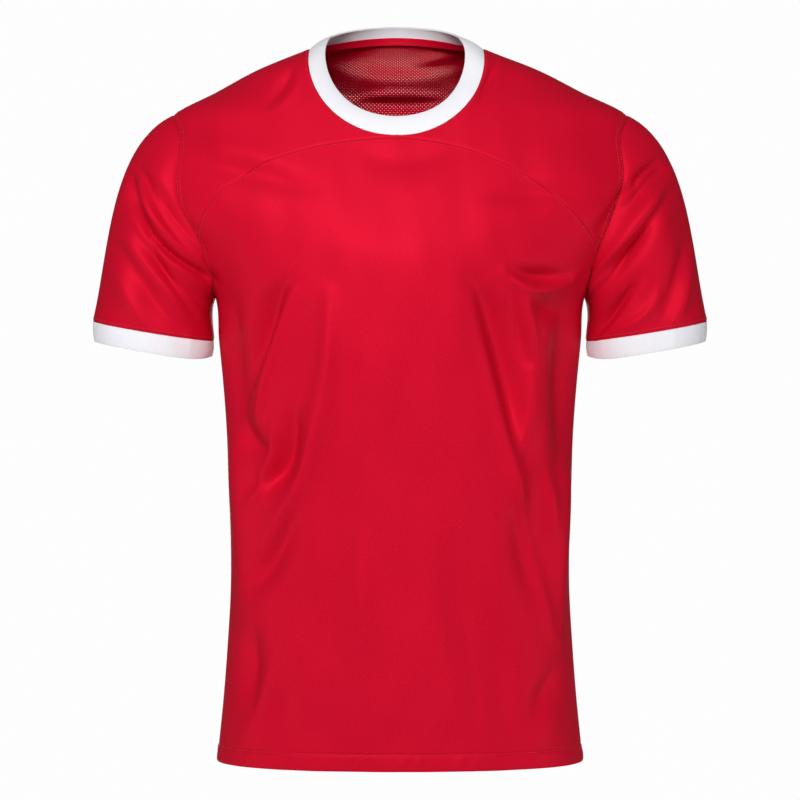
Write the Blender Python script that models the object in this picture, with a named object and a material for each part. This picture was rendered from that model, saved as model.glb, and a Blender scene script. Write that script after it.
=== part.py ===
"""A short-sleeved football jersey, standing open as if worn, with no wearer.

The front lower panel, the front yoke above its arched seam, the mesh back, two sleeves, two rib cuffs,
the rib neckband and the tape inside the back of the neck are each a wall of cloth of their own.

Frame: metres, +Z up, the front faces -Y. The origin is where the shoulders hold the jersey up: in the
middle of the neck hole, at the height of the shoulder seams' inner ends.
"""

import math

import bmesh
import bpy
import numpy as np

# Heights
HEM_Z = -0.719
HEM_HEIGHT = 0.017
UNDERARM_Z = -0.250
SHOULDER_Z = -0.0629
NECK_POINT_Z = 0.0037
BACK_NECK_Z = 0.0155

# The body's level sections: half of the width, how far the front and the back stand from the middle,
# and where that middle is. The widest ones run out past the armholes, which cut them short.
FORM_COLUMNS = ("z", "half_width", "front", "back", "middle")
FORM = np.array(
    [
        (-0.7190, 0.1857, 0.118, 0.113, 0.000),
        (-0.6530, 0.1790, 0.117, 0.108, 0.000),
        (-0.6000, 0.1750, 0.116, 0.104, 0.000),
        (-0.5460, 0.1720, 0.115, 0.101, 0.000),
        (-0.4930, 0.1720, 0.116, 0.100, 0.000),
        (-0.4400, 0.1740, 0.118, 0.101, 0.000),
        (-0.3870, 0.1760, 0.121, 0.104, 0.000),
        (-0.3340, 0.1800, 0.125, 0.108, 0.000),
        (-0.2930, 0.1840, 0.128, 0.112, 0.000),
        (-0.2500, 0.1875, 0.129, 0.116, 0.000),
        (-0.2013, 0.2133, 0.125, 0.119, 0.001),
        (-0.1600, 0.2467, 0.118, 0.118, 0.003),
        (-0.1290, 0.2540, 0.109, 0.114, 0.004),
        (-0.0850, 0.2386, 0.093, 0.103, 0.006),
        (-0.0629, 0.2290, 0.085, 0.095, 0.008),
        (-0.0415, 0.1873, 0.077, 0.088, 0.009),
        (-0.0181, 0.1425, 0.068, 0.080, 0.009),
        (0.0037, 0.0881, 0.058, 0.072, 0.009),
        (0.0155, 0.0618, 0.052, 0.067, 0.009),
    ]
)
SECTION_POWER = 0.87

# Armhole: how far it bows to the front and to the back of the line between its two ends
ARMHOLE_BOW = {"front": 0.062, "back": 0.066}

# Arched yoke seam, on the wearer's right (-X) and left (+X): where on the armhole it starts, as a part
# of the way up, and how sharply it turns over. Its top is just below the neckband.
ARCH_TOP_Z = -0.0948
ARCH = {-1: {"start": 0.365, "turn": 1.00}, 1: {"start": 0.325, "turn": 1.55}}

# Neck seam, seen from the front: half of an ellipse that ends a little above its widest place
NECK_HALF_WIDTH = 0.0888
NECK_WIDEST_Z = -0.008
NECK_DROP = 0.084
NECK_PAST_WIDEST = math.radians(8)
NECK_MIDDLE_Y = -0.006
NECK_HALF_DEPTH = 0.082

# The neck sits this much to one side. The shift fades out between these distances from the middle,
# and between these heights below the neck.
NECK_SIDE_SHIFT = -0.0035
SHIFT_FADE_X = (0.11, 0.22)
SHIFT_FADE_Z = (-0.10, -0.17)

# Neckband: how far it goes in and up from the seam, at the front, over the shoulders and at the back
BAND_IN = {"front": 0.010, "right": 0.0212, "left": 0.0252, "back": 0.006}
BAND_UP = {"front": 0.0200, "right": 0.0125, "left": 0.0125, "back": 0.0185}
BAND_CROWN = 0.0012
TAPE_ABOVE_SEAM = 0.0003
TAPE_HEIGHT = 0.0083

# Sleeves: the ring where the cuff is sewn on, its ends in the plane of the shoulders
CUFF_OUTER = (0.3130, 0.004, -0.2735)
CUFF_INNER = (0.1890, 0.000, -0.2940)
CUFF_HALF_DEPTH = 0.0525
CUFF_FRONT_DROP = 0.003

# How a sleeve leaves the armhole and arrives at the cuff: its directions there, the parts of them that
# grow towards the top of the arm, and how strongly each one holds
SLEEVE_LEAVES = {"out": 0.30, "out_at_top": 0.62, "forward": 0.22, "down": 0.75, "level_at_top": 0.34}
SLEEVE_ARRIVES = {"out_at_top": 0.25, "forward": 0.02}
SLEEVE_LEAVES_HOLD = 0.97
SLEEVE_ARRIVES_HOLD = 0.91

# Cuffs: their height, how much tighter the free edge is, and how much that edge rises at the body side
CUFF_HEIGHT = 0.0205
CUFF_GRIP = 0.97
CUFF_INNER_RISE = 0.005

# Walls and gaps
KNIT = 0.0012
MESH_KNIT = 0.0012
HEM_DOUBLE = 0.0022
RIB = 0.0020
TAPE = 0.0010
TAPE_GAP = 0.0013
SEAM_GAP = 0.0004

# Cells of each panel
BODY_ACROSS = 28
BODY_UP = 17
CHEST_UP = 7
YOKE_UP = 7
YOKE_ACROSS = BODY_ACROSS // 4
BACK_ACROSS = 26
BACK_UP = 10
SLEEVE_DOWN = 7
RIB_ROWS = 2

# The first cells above the underarm are longer, by raising even steps to this power
UNDERARM_SPREAD = 0.8

# Deep under the arm, where the sleeve turns back beside the body, its edge stands clear by this much
UNDERARM_EASE = 0.0010
UNDERARM_EASE_HEIGHT = 0.012

# The largest folds, as seen from the front or from behind: a curved path that three points (x, z) pull,
# the width from side to side, and the depth, which is negative for a ridge.
FOLD_REACH = 0.75
FOLD_END_FADE = 0.12
FOLD_COLUMNS = ("face", "start", "middle", "end", "width", "depth")
FOLDS = [
    ("front", (0.072, -0.250), (0.100, -0.305), (0.124, -0.410), 0.046, 0.0085),
    ("front", (0.112, -0.258), (0.122, -0.290), (0.132, -0.330), 0.030, 0.0050),
    ("front", (0.104, -0.400), (0.126, -0.450), (0.146, -0.560), 0.040, -0.0050),
    ("front", (0.125, -0.480), (0.132, -0.530), (0.140, -0.580), 0.060, 0.0050),
    ("front", (-0.117, -0.248), (-0.150, -0.315), (-0.150, -0.400), 0.044, 0.0080),
    ("front", (-0.096, -0.375), (-0.112, -0.420), (-0.140, -0.440), 0.040, 0.0070),
    ("front", (-0.072, -0.250), (-0.078, -0.350), (-0.130, -0.520), 0.050, -0.0050),
    ("front", (-0.105, -0.470), (-0.125, -0.510), (-0.142, -0.545), 0.044, 0.0050),
    ("front", (-0.146, -0.590), (-0.150, -0.630), (-0.150, -0.680), 0.036, 0.0040),
    ("front", (-0.200, -0.112), (-0.150, -0.120), (-0.105, -0.140), 0.034, 0.0040),
    ("front", (-0.270, -0.135), (-0.245, -0.185), (-0.196, -0.222), 0.030, 0.0080),
    ("front", (-0.262, -0.190), (-0.235, -0.225), (-0.200, -0.262), 0.026, 0.0040),
    ("front", (-0.270, -0.205), (-0.250, -0.240), (-0.222, -0.280), 0.034, 0.0050),
    ("front", (0.262, -0.115), (0.236, -0.150), (0.205, -0.180), 0.034, 0.0070),
    ("front", (0.262, -0.152), (0.234, -0.196), (0.196, -0.245), 0.030, 0.0070),
    ("front", (0.236, -0.236), (0.220, -0.262), (0.202, -0.285), 0.028, 0.0040),
    ("back", (-0.080, -0.012), (0.000, -0.024), (0.070, -0.018), 0.026, 0.0050),
    ("back", (0.150, -0.210), (0.120, -0.330), (0.126, -0.470), 0.048, 0.0075),
    ("back", (-0.145, -0.200), (-0.125, -0.300), (-0.138, -0.420), 0.046, 0.0080),
    ("back", (0.060, -0.360), (0.052, -0.470), (0.070, -0.620), 0.056, 0.0060),
    ("back", (-0.050, -0.400), (-0.062, -0.520), (-0.050, -0.660), 0.054, 0.0055),
    ("back", (0.268, -0.140), (0.242, -0.185), (0.200, -0.225), 0.032, 0.0075),
    ("back", (-0.266, -0.130), (-0.240, -0.175), (-0.200, -0.215), 0.032, 0.0070),
    ("back", (0.262, -0.195), (0.245, -0.235), (0.222, -0.275), 0.030, 0.0045),
    ("back", (-0.264, -0.190), (-0.246, -0.232), (-0.224, -0.270), 0.030, 0.0045),
]

# Colours (linear), roughness and metallic value of each cloth
CLOTHS = {
    "red_knit": ((0.62, 0.006, 0.022), 0.48, 0.0),
    "red_mesh": ((0.50, 0.006, 0.020), 0.62, 0.0),
    "white_rib": ((0.86, 0.87, 0.90), 0.70, 0.0),
}


def eased(value, xs, ys):
    """A smooth curve through the points (xs, ys), read at one value."""
    slopes = np.gradient(ys, xs)
    k = int(np.clip(np.searchsorted(xs, value) - 1, 0, len(xs) - 2))
    span = xs[k + 1] - xs[k]
    t = np.clip((value - xs[k]) / span, 0.0, 1.0)
    return (
        (1 + 2 * t) * (1 - t) ** 2 * ys[k]
        + t * (1 - t) ** 2 * span * slopes[k]
        + t * t * (3 - 2 * t) * ys[k + 1]
        + t * t * (t - 1) * span * slopes[k + 1]
    )


def section(z):
    """The level section of the body's form at a height, by the names of FORM_COLUMNS."""
    return {
        name: float(eased(z, FORM[:, 0], FORM[:, column]))
        for column, name in enumerate(FORM_COLUMNS)
    }


def turned(angle, size, face):
    """The point of a section at an angle: 0 at -X, pi at +X, by way of the front or the back."""
    cosine = math.cos(angle)
    sine = max(math.sin(angle), 0.0)
    x = -size["half_width"] * math.copysign(abs(cosine) ** SECTION_POWER, cosine)
    out = size[face] * sine**SECTION_POWER
    y = size["middle"] + (-out if face == "front" else out)
    return np.array((x, y, size["z"]))


def angle_steps(z, face, steps=96):
    """Angles along half a section, with the part of its length that lies before each."""
    size = section(z)
    angles = np.linspace(0, math.pi, steps + 1)
    points = np.array([turned(angle, size, face) for angle in angles])
    lengths = np.concatenate([[0], np.cumsum(np.linalg.norm(np.diff(points, axis=0), axis=1))])
    return angles, lengths / lengths[-1]


def on_form(across, z, face):
    """The point on the body's form at a part of the way across it, 0 at -X and 1 at +X."""
    angles, parts = angle_steps(z, face)
    return turned(float(np.interp(across, parts, angles)), section(z) | {"z": z}, face)


def across_of_angle(angle, z, face):
    angles, parts = angle_steps(z, face)
    return float(np.interp(angle, angles, parts))


def across_of_x(x, z, face):
    reach = min(abs(x) / section(z)["half_width"], 1.0)
    angle = math.acos(reach ** (1 / SECTION_POWER))
    return across_of_angle(angle if x < 0 else math.pi - angle, z, face)


def armhole(up, face):
    """(across, z) of the -X armhole, from the underarm (up 0) to the shoulder point (up 1)."""
    z = UNDERARM_Z + (SHOULDER_Z - UNDERARM_Z) * (1 - math.cos(math.pi * up)) / 2
    bow = ARMHOLE_BOW[face] * math.sin(math.pi * up)
    angle = math.asin(min(bow / section(z)[face], 1.0) ** (1 / SECTION_POWER))
    return np.array((across_of_angle(angle, z, face), z))


def arch(along, side):
    """(across, z) of the yoke seam as if on the -X side, from the armhole (0) to the middle (1)."""
    start_across, start_z = armhole(ARCH[side]["start"], "front")
    start_x = on_form(start_across, start_z, "front")[0]
    angle = along * math.pi / 2
    x = start_x * math.cos(angle)
    z = start_z + (ARCH_TOP_Z - start_z) * math.sin(angle) ** ARCH[side]["turn"]
    if along == 1:
        return np.array((0.5, ARCH_TOP_Z))
    return np.array((across_of_x(x, z, "front"), z))


def shoulder(along):
    """(across, z) of the -X shoulder seam, from the shoulder point (0) to the neck (1)."""
    return np.array((0.0, SHOULDER_Z + (NECK_POINT_Z - SHOULDER_Z) * along))


def front_neck(along):
    """(across, z) of the front neck seam, from the middle (0) to the -X shoulder seam (1)."""
    angle = math.pi / 2 - along * (math.pi / 2 + NECK_PAST_WIDEST)
    x = -NECK_HALF_WIDTH * math.cos(angle)
    z = NECK_WIDEST_Z - NECK_DROP * math.sin(angle)
    if along == 0:
        return np.array((0.5, z))
    if along == 1:
        return np.array((0.0, NECK_POINT_Z))
    return np.array((across_of_x(x, z, "front"), z))


def back_neck(along):
    """(across, z) of the back neck seam, from the -X shoulder seam (0) to the +X one (1)."""
    rise = math.sin(math.pi * along)
    return np.array((along, NECK_POINT_Z + (BACK_NECK_Z - NECK_POINT_Z) * rise))


def coons(bottom, top, left, right):
    """A grid of (across, z) between four edges: rows run from left to right, bottom row first."""
    us = np.linspace(0, 1, len(bottom))[None, :, None]
    vs = np.linspace(0, 1, len(left))[:, None, None]
    bottom, top = np.array(bottom)[None], np.array(top)[None]
    left, right = np.array(left)[:, None], np.array(right)[:, None]
    corners = (
        (1 - us) * (1 - vs) * bottom[:, :1]
        + us * (1 - vs) * bottom[:, -1:]
        + (1 - us) * vs * top[:, :1]
        + us * vs * top[:, -1:]
    )
    return (1 - vs) * bottom + vs * top + (1 - us) * left + us * right - corners


def mirrored(edge):
    """The same edge on the +X side."""
    return [np.array((1 - across, z)) for across, z in edge]


def placed(grid, face):
    return np.array([[on_form(across, z, face) for across, z in row] for row in grid])


def steps(count):
    return np.linspace(0, 1, count + 1)


def side_heights(rows):
    """Heights of the level rows: the hem's two edges, then even steps up to the underarm."""
    hem_top = HEM_Z + HEM_HEIGHT
    return [HEM_Z, hem_top, *np.linspace(hem_top + 0.001, UNDERARM_Z, rows)]


def front_body_grid():
    level = [[(across, z) for across in steps(BODY_ACROSS)] for z in side_heights(BODY_UP)]
    half = BODY_ACROSS // 2
    left_arch = [arch(along, -1) for along in steps(half)]
    right_arch = mirrored([arch(along, 1) for along in steps(half)])[::-1]
    ups = steps(CHEST_UP) ** UNDERARM_SPREAD
    left = [armhole(up * ARCH[-1]["start"], "front") for up in ups]
    right = mirrored([armhole(up * ARCH[1]["start"], "front") for up in ups])
    chest = coons(level[-1], left_arch + right_arch[1:], left, right)
    grid = placed([*level[:-1], *chest], "front")
    grid[-1, 1::2] = (grid[-1, :-1:2] + grid[-1, 2::2]) / 2
    return grid


def yoke_grid(side):
    """One half of the yoke, as if on the -X side: rows run from the armhole to the neck."""
    start = ARCH[side]["start"]
    bottom = [arch(along, side) for along in steps(YOKE_ACROSS)]
    top = [shoulder(along) for along in steps(YOKE_ACROSS)]
    left = [armhole(start + (1 - start) * up, "front") for up in steps(YOKE_UP)]
    right = [bottom[-1], *(front_neck(along) for along in steps(YOKE_UP - 1))]
    grid = coons(bottom, top, left, right)
    if side > 0:
        grid[..., 0] = 1 - grid[..., 0]
    return placed(grid, "front")


def back_grid():
    level = [[(across, z) for across in steps(BACK_ACROSS)] for z in side_heights(BODY_UP)]
    seam = [shoulder(along) for along in steps(YOKE_ACROSS)]
    neck = [back_neck(along) for along in steps(BACK_ACROSS - 2 * YOKE_ACROSS)]
    top = seam + neck[1:-1] + mirrored(seam)[::-1]
    left = [armhole(up, "back") for up in steps(BACK_UP) ** UNDERARM_SPREAD]
    upper = coons(level[-1], top, left, mirrored(left))
    return placed([*level[:-1], *upper], "back")


def armhole_ring(front, yoke, back, side):
    """The armhole's points in order: up the front from the underarm, then down the back."""
    end = 0 if side < 0 else -1
    first = len(side_heights(BODY_UP)) - 1
    up_front = [*front[first:, end], *yoke[1:, 0]]
    down_back = back[first:, end][::-1]
    return np.array([*up_front, *down_back[1:-1]])


def cuff_ring(ring, side):
    """The sleeve's lower ring, with one point for each point of the armhole, evenly turned."""
    top = int(np.argmax(ring[:, 2]))
    up_front = np.linspace(0, math.pi, top + 1)
    down_back = np.linspace(math.pi, 2 * math.pi, len(ring) - top + 1)[1:-1]
    turns = [*up_front, *down_back]
    outer, inner = np.array(CUFF_OUTER), np.array(CUFF_INNER)
    middle, half = (outer + inner) / 2, (inner - outer) / 2
    points = []
    for turn in turns:
        point = middle + half * math.cos(turn)
        point[1] -= CUFF_HALF_DEPTH * math.sin(turn)
        point[2] -= CUFF_FRONT_DROP * math.sin(turn)
        point[0] *= side
        points.append(point)
    return np.array(points), turns


def sleeve_directions(height, forward, side):
    """The directions in which a sleeve's line leaves the armhole and arrives at the cuff."""
    rise = SLEEVE_LEAVES["level_at_top"] * height
    out = SLEEVE_LEAVES["out"] + SLEEVE_LEAVES["out_at_top"] * height**0.5
    leave = np.array((side * out, SLEEVE_LEAVES["forward"] * forward, rise - SLEEVE_LEAVES["down"]))
    out = SLEEVE_ARRIVES["out_at_top"] * height
    arrive = np.array((side * out, SLEEVE_ARRIVES["forward"] * forward, -1.0))
    return leave / np.linalg.norm(leave), arrive / np.linalg.norm(arrive)


def sleeve_grid(ring, side):
    """Rows from the armhole to the cuff seam, each a closed ring."""
    ends, turns = cuff_ring(ring, side)
    grid = []
    for start, end, turn in zip(ring, ends, turns):
        above = (start[2] - UNDERARM_Z) / UNDERARM_EASE_HEIGHT
        ease = UNDERARM_EASE * np.clip(1 - above, 0, 1) ** 0.5
        start = start + (side * ease, 0, 0)
        reach = np.linalg.norm(end - start)
        leave, arrive = sleeve_directions((1 - math.cos(turn)) / 2, -math.sin(turn), side)
        leave *= reach * SLEEVE_LEAVES_HOLD
        arrive *= reach * SLEEVE_ARRIVES_HOLD
        grid.append([hermite(start, end, leave, arrive, t) for t in steps(SLEEVE_DOWN)])
    return np.array(grid).transpose(1, 0, 2)


def hermite(start, end, leave, arrive, t):
    return (
        (1 + 2 * t) * (1 - t) ** 2 * start
        + t * (1 - t) ** 2 * leave
        + t * t * (3 - 2 * t) * end
        + t * t * (t - 1) * arrive
    )


def cuff_grid(ring, side):
    """Rows from the cuff seam to the cuff's free edge, which is a little tighter and rises inside."""
    middle = ring.mean(axis=0)
    half_width = np.abs(ring[:, 0] - middle[0]).max()
    inside = np.clip(side * (middle[0] - ring[:, 0]) / half_width, 0, 1) ** 6
    rows = []
    for t in steps(RIB_ROWS):
        row = ring.copy()
        row[:, :2] = middle[:2] + (ring[:, :2] - middle[:2]) * (1 + (CUFF_GRIP - 1) * t)
        row[:, 2] -= (CUFF_HEIGHT - CUFF_INNER_RISE * inside) * t
        rows.append(row)
    return np.array(rows)


def neck_ring(yokes, back):
    """The neck seam's points in order: -X shoulder, front, +X shoulder, back."""
    left = yokes[-1][1:, -1][::-1]
    right = yokes[1][1:, -1]
    behind = back[-1, YOKE_ACROSS : BACK_ACROSS - YOKE_ACROSS + 1][::-1]
    return np.array([*left, *right[1:], *behind[1:-1]])


def shares(direction):
    """How much of a level direction from the neck's middle is front, back and each side."""
    forward = -direction[1]
    return {
        "front": max(forward, 0.0) ** 2,
        "right": max(-direction[0], 0.0) ** 2,
        "left": max(direction[0], 0.0) ** 2,
        "back": max(-forward, 0.0) ** 2,
    }


def neckband_edge(ring):
    """The free edge of the neckband, one point for each point of the seam."""
    middle = np.array((0.0, NECK_MIDDLE_Y))
    edge = []
    for point in ring:
        direction = (point[:2] - middle) / (NECK_HALF_WIDTH, NECK_HALF_DEPTH)
        direction /= np.linalg.norm(direction)
        share = shares(direction)
        inward = sum(share[name] * BAND_IN[name] for name in share)
        rise = sum(share[name] * BAND_UP[name] for name in share)
        edge.append((*(point[:2] - direction * inward), point[2] + rise))
    return np.array(edge)


def neckband_grid(ring):
    edge = neckband_edge(ring)
    rows = []
    for t in steps(RIB_ROWS):
        row = ring + (edge - ring) * t
        row[:, 2] += BAND_CROWN * math.sin(math.pi * t)
        rows.append(row)
    return np.array(rows)


def tape_grid(neckband, normals_at):
    """Behind the neckband, from one shoulder round the back to the other, just inside its wall."""
    count = len(neckband.points) // (RIB_ROWS + 1)
    behind = np.arange(2 * YOKE_UP - 2, count + 1) % count
    outer = np.array(neckband.points)
    normals = np.array([normals_at[place_key(place)] for place in outer])
    inner = (outer - normals * (RIB + TAPE_GAP)).reshape(RIB_ROWS + 1, count, 3)[:, behind]
    seam, edge = inner[0], inner[-1]
    height = np.linalg.norm(edge - seam, axis=1)[:, None]
    rows = []
    for part in steps(RIB_ROWS):
        share = RIB_ROWS * (TAPE_ABOVE_SEAM + TAPE_HEIGHT * part) / height
        row = np.where(
            share < 1,
            inner[0] + (inner[1] - inner[0]) * share,
            inner[1] + (inner[2] - inner[1]) * (share - 1),
        )
        rows.append(row)
    return np.array(rows)


def fold_path(fold, count=25):
    """Points along a fold's path, and how far along it each is."""
    ts = np.linspace(0, 1, count)[:, None]
    start, middle, end = (np.array(fold[name]) for name in ("start", "middle", "end"))
    return (1 - ts) ** 2 * start + 2 * ts * (1 - ts) * middle + ts**2 * end, ts[:, 0]


def fold_depth(x, z, facing):
    """How far the folds push a point in, given how far its normal faces the front (-1) or back (1)."""
    total = 0.0
    for row in FOLDS:
        fold = dict(zip(FOLD_COLUMNS, row))
        share = np.clip((-facing if fold["face"] == "front" else facing) * 2.0, 0, 1)
        if share <= 0:
            continue
        path, along = fold_path(fold)
        distances = np.linalg.norm(path - (x, z), axis=1)
        nearest = int(np.argmin(distances))
        fade = math.sin(math.pi * (FOLD_END_FADE + (1 - 2 * FOLD_END_FADE) * along[nearest]))
        near = distances[nearest] / (fold["width"] * FOLD_REACH)
        total += share * fold["depth"] * fade * math.exp(-near * near)
    return total


def place_key(place):
    """Names a place, so that points of two pieces at one place are found together."""
    return tuple(np.round(place, 6))


class Panel:
    """A piece of cloth: its points, and its four-sided faces, wound anticlockwise from outside."""

    def __init__(self, name, cloth, thickness, closed=False):
        self.name, self.cloth, self.thickness, self.closed = name, cloth, thickness, closed
        self.points, self.faces, self.index = [], [], {}

    def point(self, place):
        key = place_key(place)
        if key not in self.index:
            self.index[key] = len(self.points)
            self.points.append(np.array(place, float))
        return self.index[key]

    def add(self, grid, inner):
        """Adds a grid of points. inner gives, for a place, a point that lies on the cloth's inner side."""
        numbers = [[self.point(place) for place in row] for row in grid]
        across = len(grid[0]) if self.closed else len(grid[0]) - 1
        faces = []
        for low, high in zip(numbers, numbers[1:]):
            for k in range(across):
                after = (k + 1) % len(low)
                faces.append((low[k], low[after], high[after], high[k]))
        facing = 0.0
        for face in faces:
            a, b, c, d = (self.points[k] for k in face)
            facing += np.dot(np.cross(c - a, d - b), (a + c) / 2 - inner((a + c) / 2))
        self.faces += faces if facing > 0 else [face[::-1] for face in faces]
        return self


def shared_normals(panels):
    """The outward direction at each point of the whole jersey, the same for all panels that meet there."""
    sums = {}
    for panel in panels:
        for face in panel.faces:
            a, b, c, d = (panel.points[k] for k in face)
            normal = np.cross(c - a, d - b)
            for k in face:
                key = place_key(panel.points[k])
                sums[key] = sums.get(key, 0) + normal
    return {key: total / np.linalg.norm(total) for key, total in sums.items()}


def fold_panels(panels):
    """Pushes the folds into the cloth, the same way on both sides of each seam."""
    normals = shared_normals(panels)
    for panel in panels:
        for place in panel.points:
            normal = normals[place_key(place)]
            place -= normal * fold_depth(place[0], place[2], normal[1])


def shift_neck(panels):
    """Moves the neck a little to one side, fading out towards the shoulders and the chest."""
    for panel in panels:
        for place in panel.points:
            fade_out = 1 - np.interp(abs(place[0]), SHIFT_FADE_X, (0, 1))
            fade_down = np.interp(place[2], SHIFT_FADE_Z[::-1], (0, 1))
            place[0] += NECK_SIDE_SHIFT * fade_out * fade_down


def inward_shifts(panel, normals):
    """How far each point on the panel's edges moves into it, to leave half of a seam's gap."""
    directed = {}
    for face in panel.faces:
        for a, b in zip(face, (*face[1:], face[0])):
            directed[(a, b)] = True
    rims = [(a, b) for a, b in directed if (b, a) not in directed]
    turned_in = {}
    for a, b in rims:
        along = panel.points[b] - panel.points[a]
        for k in (a, b):
            inward = np.cross(normals[k], along)
            turned_in.setdefault(k, []).append(inward / np.linalg.norm(inward))
    shifts = {}
    for k, directions in turned_in.items():
        total = sum(directions)
        size = np.linalg.norm(total)
        mitre = min(2 / size, 2.0) if size > 1e-6 else 0.0
        shifts[k] = total / max(size, 1e-6) * (SEAM_GAP / 2) * mitre
    return rims, shifts


def wall(panel, normals_at):
    """Gives the panel its thickness and makes it an object."""
    normals = [normals_at[place_key(place)] for place in panel.points]
    rims, shifts = inward_shifts(panel, normals)
    mesh = bmesh.new()
    outer, inner = [], []
    for k, place in enumerate(panel.points):
        here = place + shifts.get(k, 0)
        outer.append(mesh.verts.new(here))
        inner.append(mesh.verts.new(here - normals[k] * panel.thickness(place)))
    for face in panel.faces:
        mesh.faces.new([outer[k] for k in face])
        mesh.faces.new([inner[k] for k in reversed(face)])
    for a, b in rims:
        mesh.faces.new((outer[b], outer[a], inner[a], inner[b]))
    data = bpy.data.meshes.new(panel.name)
    mesh.to_mesh(data)
    mesh.free()
    data.shade_smooth()
    data.set_sharp_from_angle(angle=math.radians(50))
    data.materials.append(cloth_material(panel.cloth))
    piece = bpy.data.objects.new(panel.name, data)
    bpy.context.scene.collection.objects.link(piece)
    return piece


def cloth_material(name):
    material = bpy.data.materials.get(name)
    if material:
        return material
    colour, roughness, metallic = CLOTHS[name]
    material = bpy.data.materials.new(name)
    material.use_nodes = True
    shader = material.node_tree.nodes["Principled BSDF"]
    shader.inputs["Base Color"].default_value = (*colour, 1)
    shader.inputs["Roughness"].default_value = roughness
    shader.inputs["Metallic"].default_value = metallic
    return material


def body_axis(place):
    return np.array((0.0, 0.0, min(place[2], -0.10)))


def sleeve_axis(side):
    top = np.array((side * 0.212, 0.0, -0.160))
    low = (np.array(CUFF_OUTER) + np.array(CUFF_INNER)) / 2 * (side, 1, 1)
    along = low - top

    def nearest(place):
        t = np.clip(np.dot(place - top, along) / np.dot(along, along), 0, 1)
        return top + along * t

    return nearest


def hem_thickness(cloth):
    """The cloth is doubled up to the top of the turned hem."""

    def thickness(place):
        return HEM_DOUBLE if place[2] < HEM_Z + HEM_HEIGHT + 0.0005 else cloth

    return thickness


def below(place):
    """A point inside the neck, under the neckband."""
    return np.array((0.0, 0.0, place[2] - 0.02))


def knit_thickness(place):
    return KNIT


def rib_thickness(place):
    return RIB


def tape_thickness(place):
    return TAPE


def sleeve_panels(ring, side, end):
    """The sleeve and its cuff at one armhole."""
    rows = sleeve_grid(ring, side)
    axis = sleeve_axis(side)
    sleeve = Panel(f"sleeve_{end}", "red_knit", knit_thickness, closed=True)
    cuff = Panel(f"cuff_{end}", "white_rib", rib_thickness, closed=True)
    return [sleeve.add(rows, axis), cuff.add(cuff_grid(rows[-1], side), axis)]


def build():
    for item in list(bpy.data.objects):
        bpy.data.objects.remove(item, do_unlink=True)

    front, back = front_body_grid(), back_grid()
    yokes = {side: yoke_grid(side) for side in (-1, 1)}

    front_panel = Panel("front_body", "red_knit", hem_thickness(KNIT)).add(front, body_axis)
    back_panel = Panel("back", "red_mesh", hem_thickness(MESH_KNIT)).add(back, body_axis)
    yoke_panel = Panel("yoke", "red_knit", knit_thickness)
    for side in yokes:
        yoke_panel.add(yokes[side], body_axis)
    panels = [front_panel, yoke_panel, back_panel]
    for side, end in ((-1, "right"), (1, "left")):
        panels += sleeve_panels(armhole_ring(front, yokes[side], back, side), side, end)
    neckband = Panel("neckband", "white_rib", rib_thickness, closed=True)
    panels.append(neckband.add(neckband_grid(neck_ring(yokes, back)), below))

    fold_panels(panels)
    shift_neck(panels)
    normals = shared_normals(panels)
    tape = Panel("neck_tape", "red_knit", tape_thickness)
    tape.add(tape_grid(neckband, normals), below)
    for panel in panels:
        wall(panel, normals)
    wall(tape, shared_normals([tape]))


build()
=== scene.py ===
"""The looks of a short-sleeved football jersey that stands open as if worn.

Each piece of cloth is a fine sheet laid on the jersey's form, with its creases pushed in from one
table, its seams rolled, a wall of cloth and rows of stitches. Metres, +Z up, the front faces -Y.
"""

import math

import bpy
import numpy as np
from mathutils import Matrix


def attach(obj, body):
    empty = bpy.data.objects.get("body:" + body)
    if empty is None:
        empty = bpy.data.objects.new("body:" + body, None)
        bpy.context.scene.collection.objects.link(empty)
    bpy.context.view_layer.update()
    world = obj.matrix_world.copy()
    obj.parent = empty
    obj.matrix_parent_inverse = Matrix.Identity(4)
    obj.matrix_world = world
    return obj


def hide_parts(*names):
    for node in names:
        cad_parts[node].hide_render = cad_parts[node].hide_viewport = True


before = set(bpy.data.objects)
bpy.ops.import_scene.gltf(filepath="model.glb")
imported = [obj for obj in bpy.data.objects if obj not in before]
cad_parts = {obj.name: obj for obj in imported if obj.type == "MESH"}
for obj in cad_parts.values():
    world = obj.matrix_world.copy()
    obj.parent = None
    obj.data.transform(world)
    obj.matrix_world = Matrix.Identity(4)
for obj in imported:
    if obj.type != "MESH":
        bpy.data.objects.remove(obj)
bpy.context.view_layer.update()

# ---------------------------------------------------------------- the form, as the solids have it

HEM_Z = -0.719
HEM_HEIGHT = 0.017
UNDERARM_Z = -0.250
SHOULDER_Z = -0.0629
NECK_POINT_Z = 0.0037
BACK_NECK_Z = 0.0155

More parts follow.
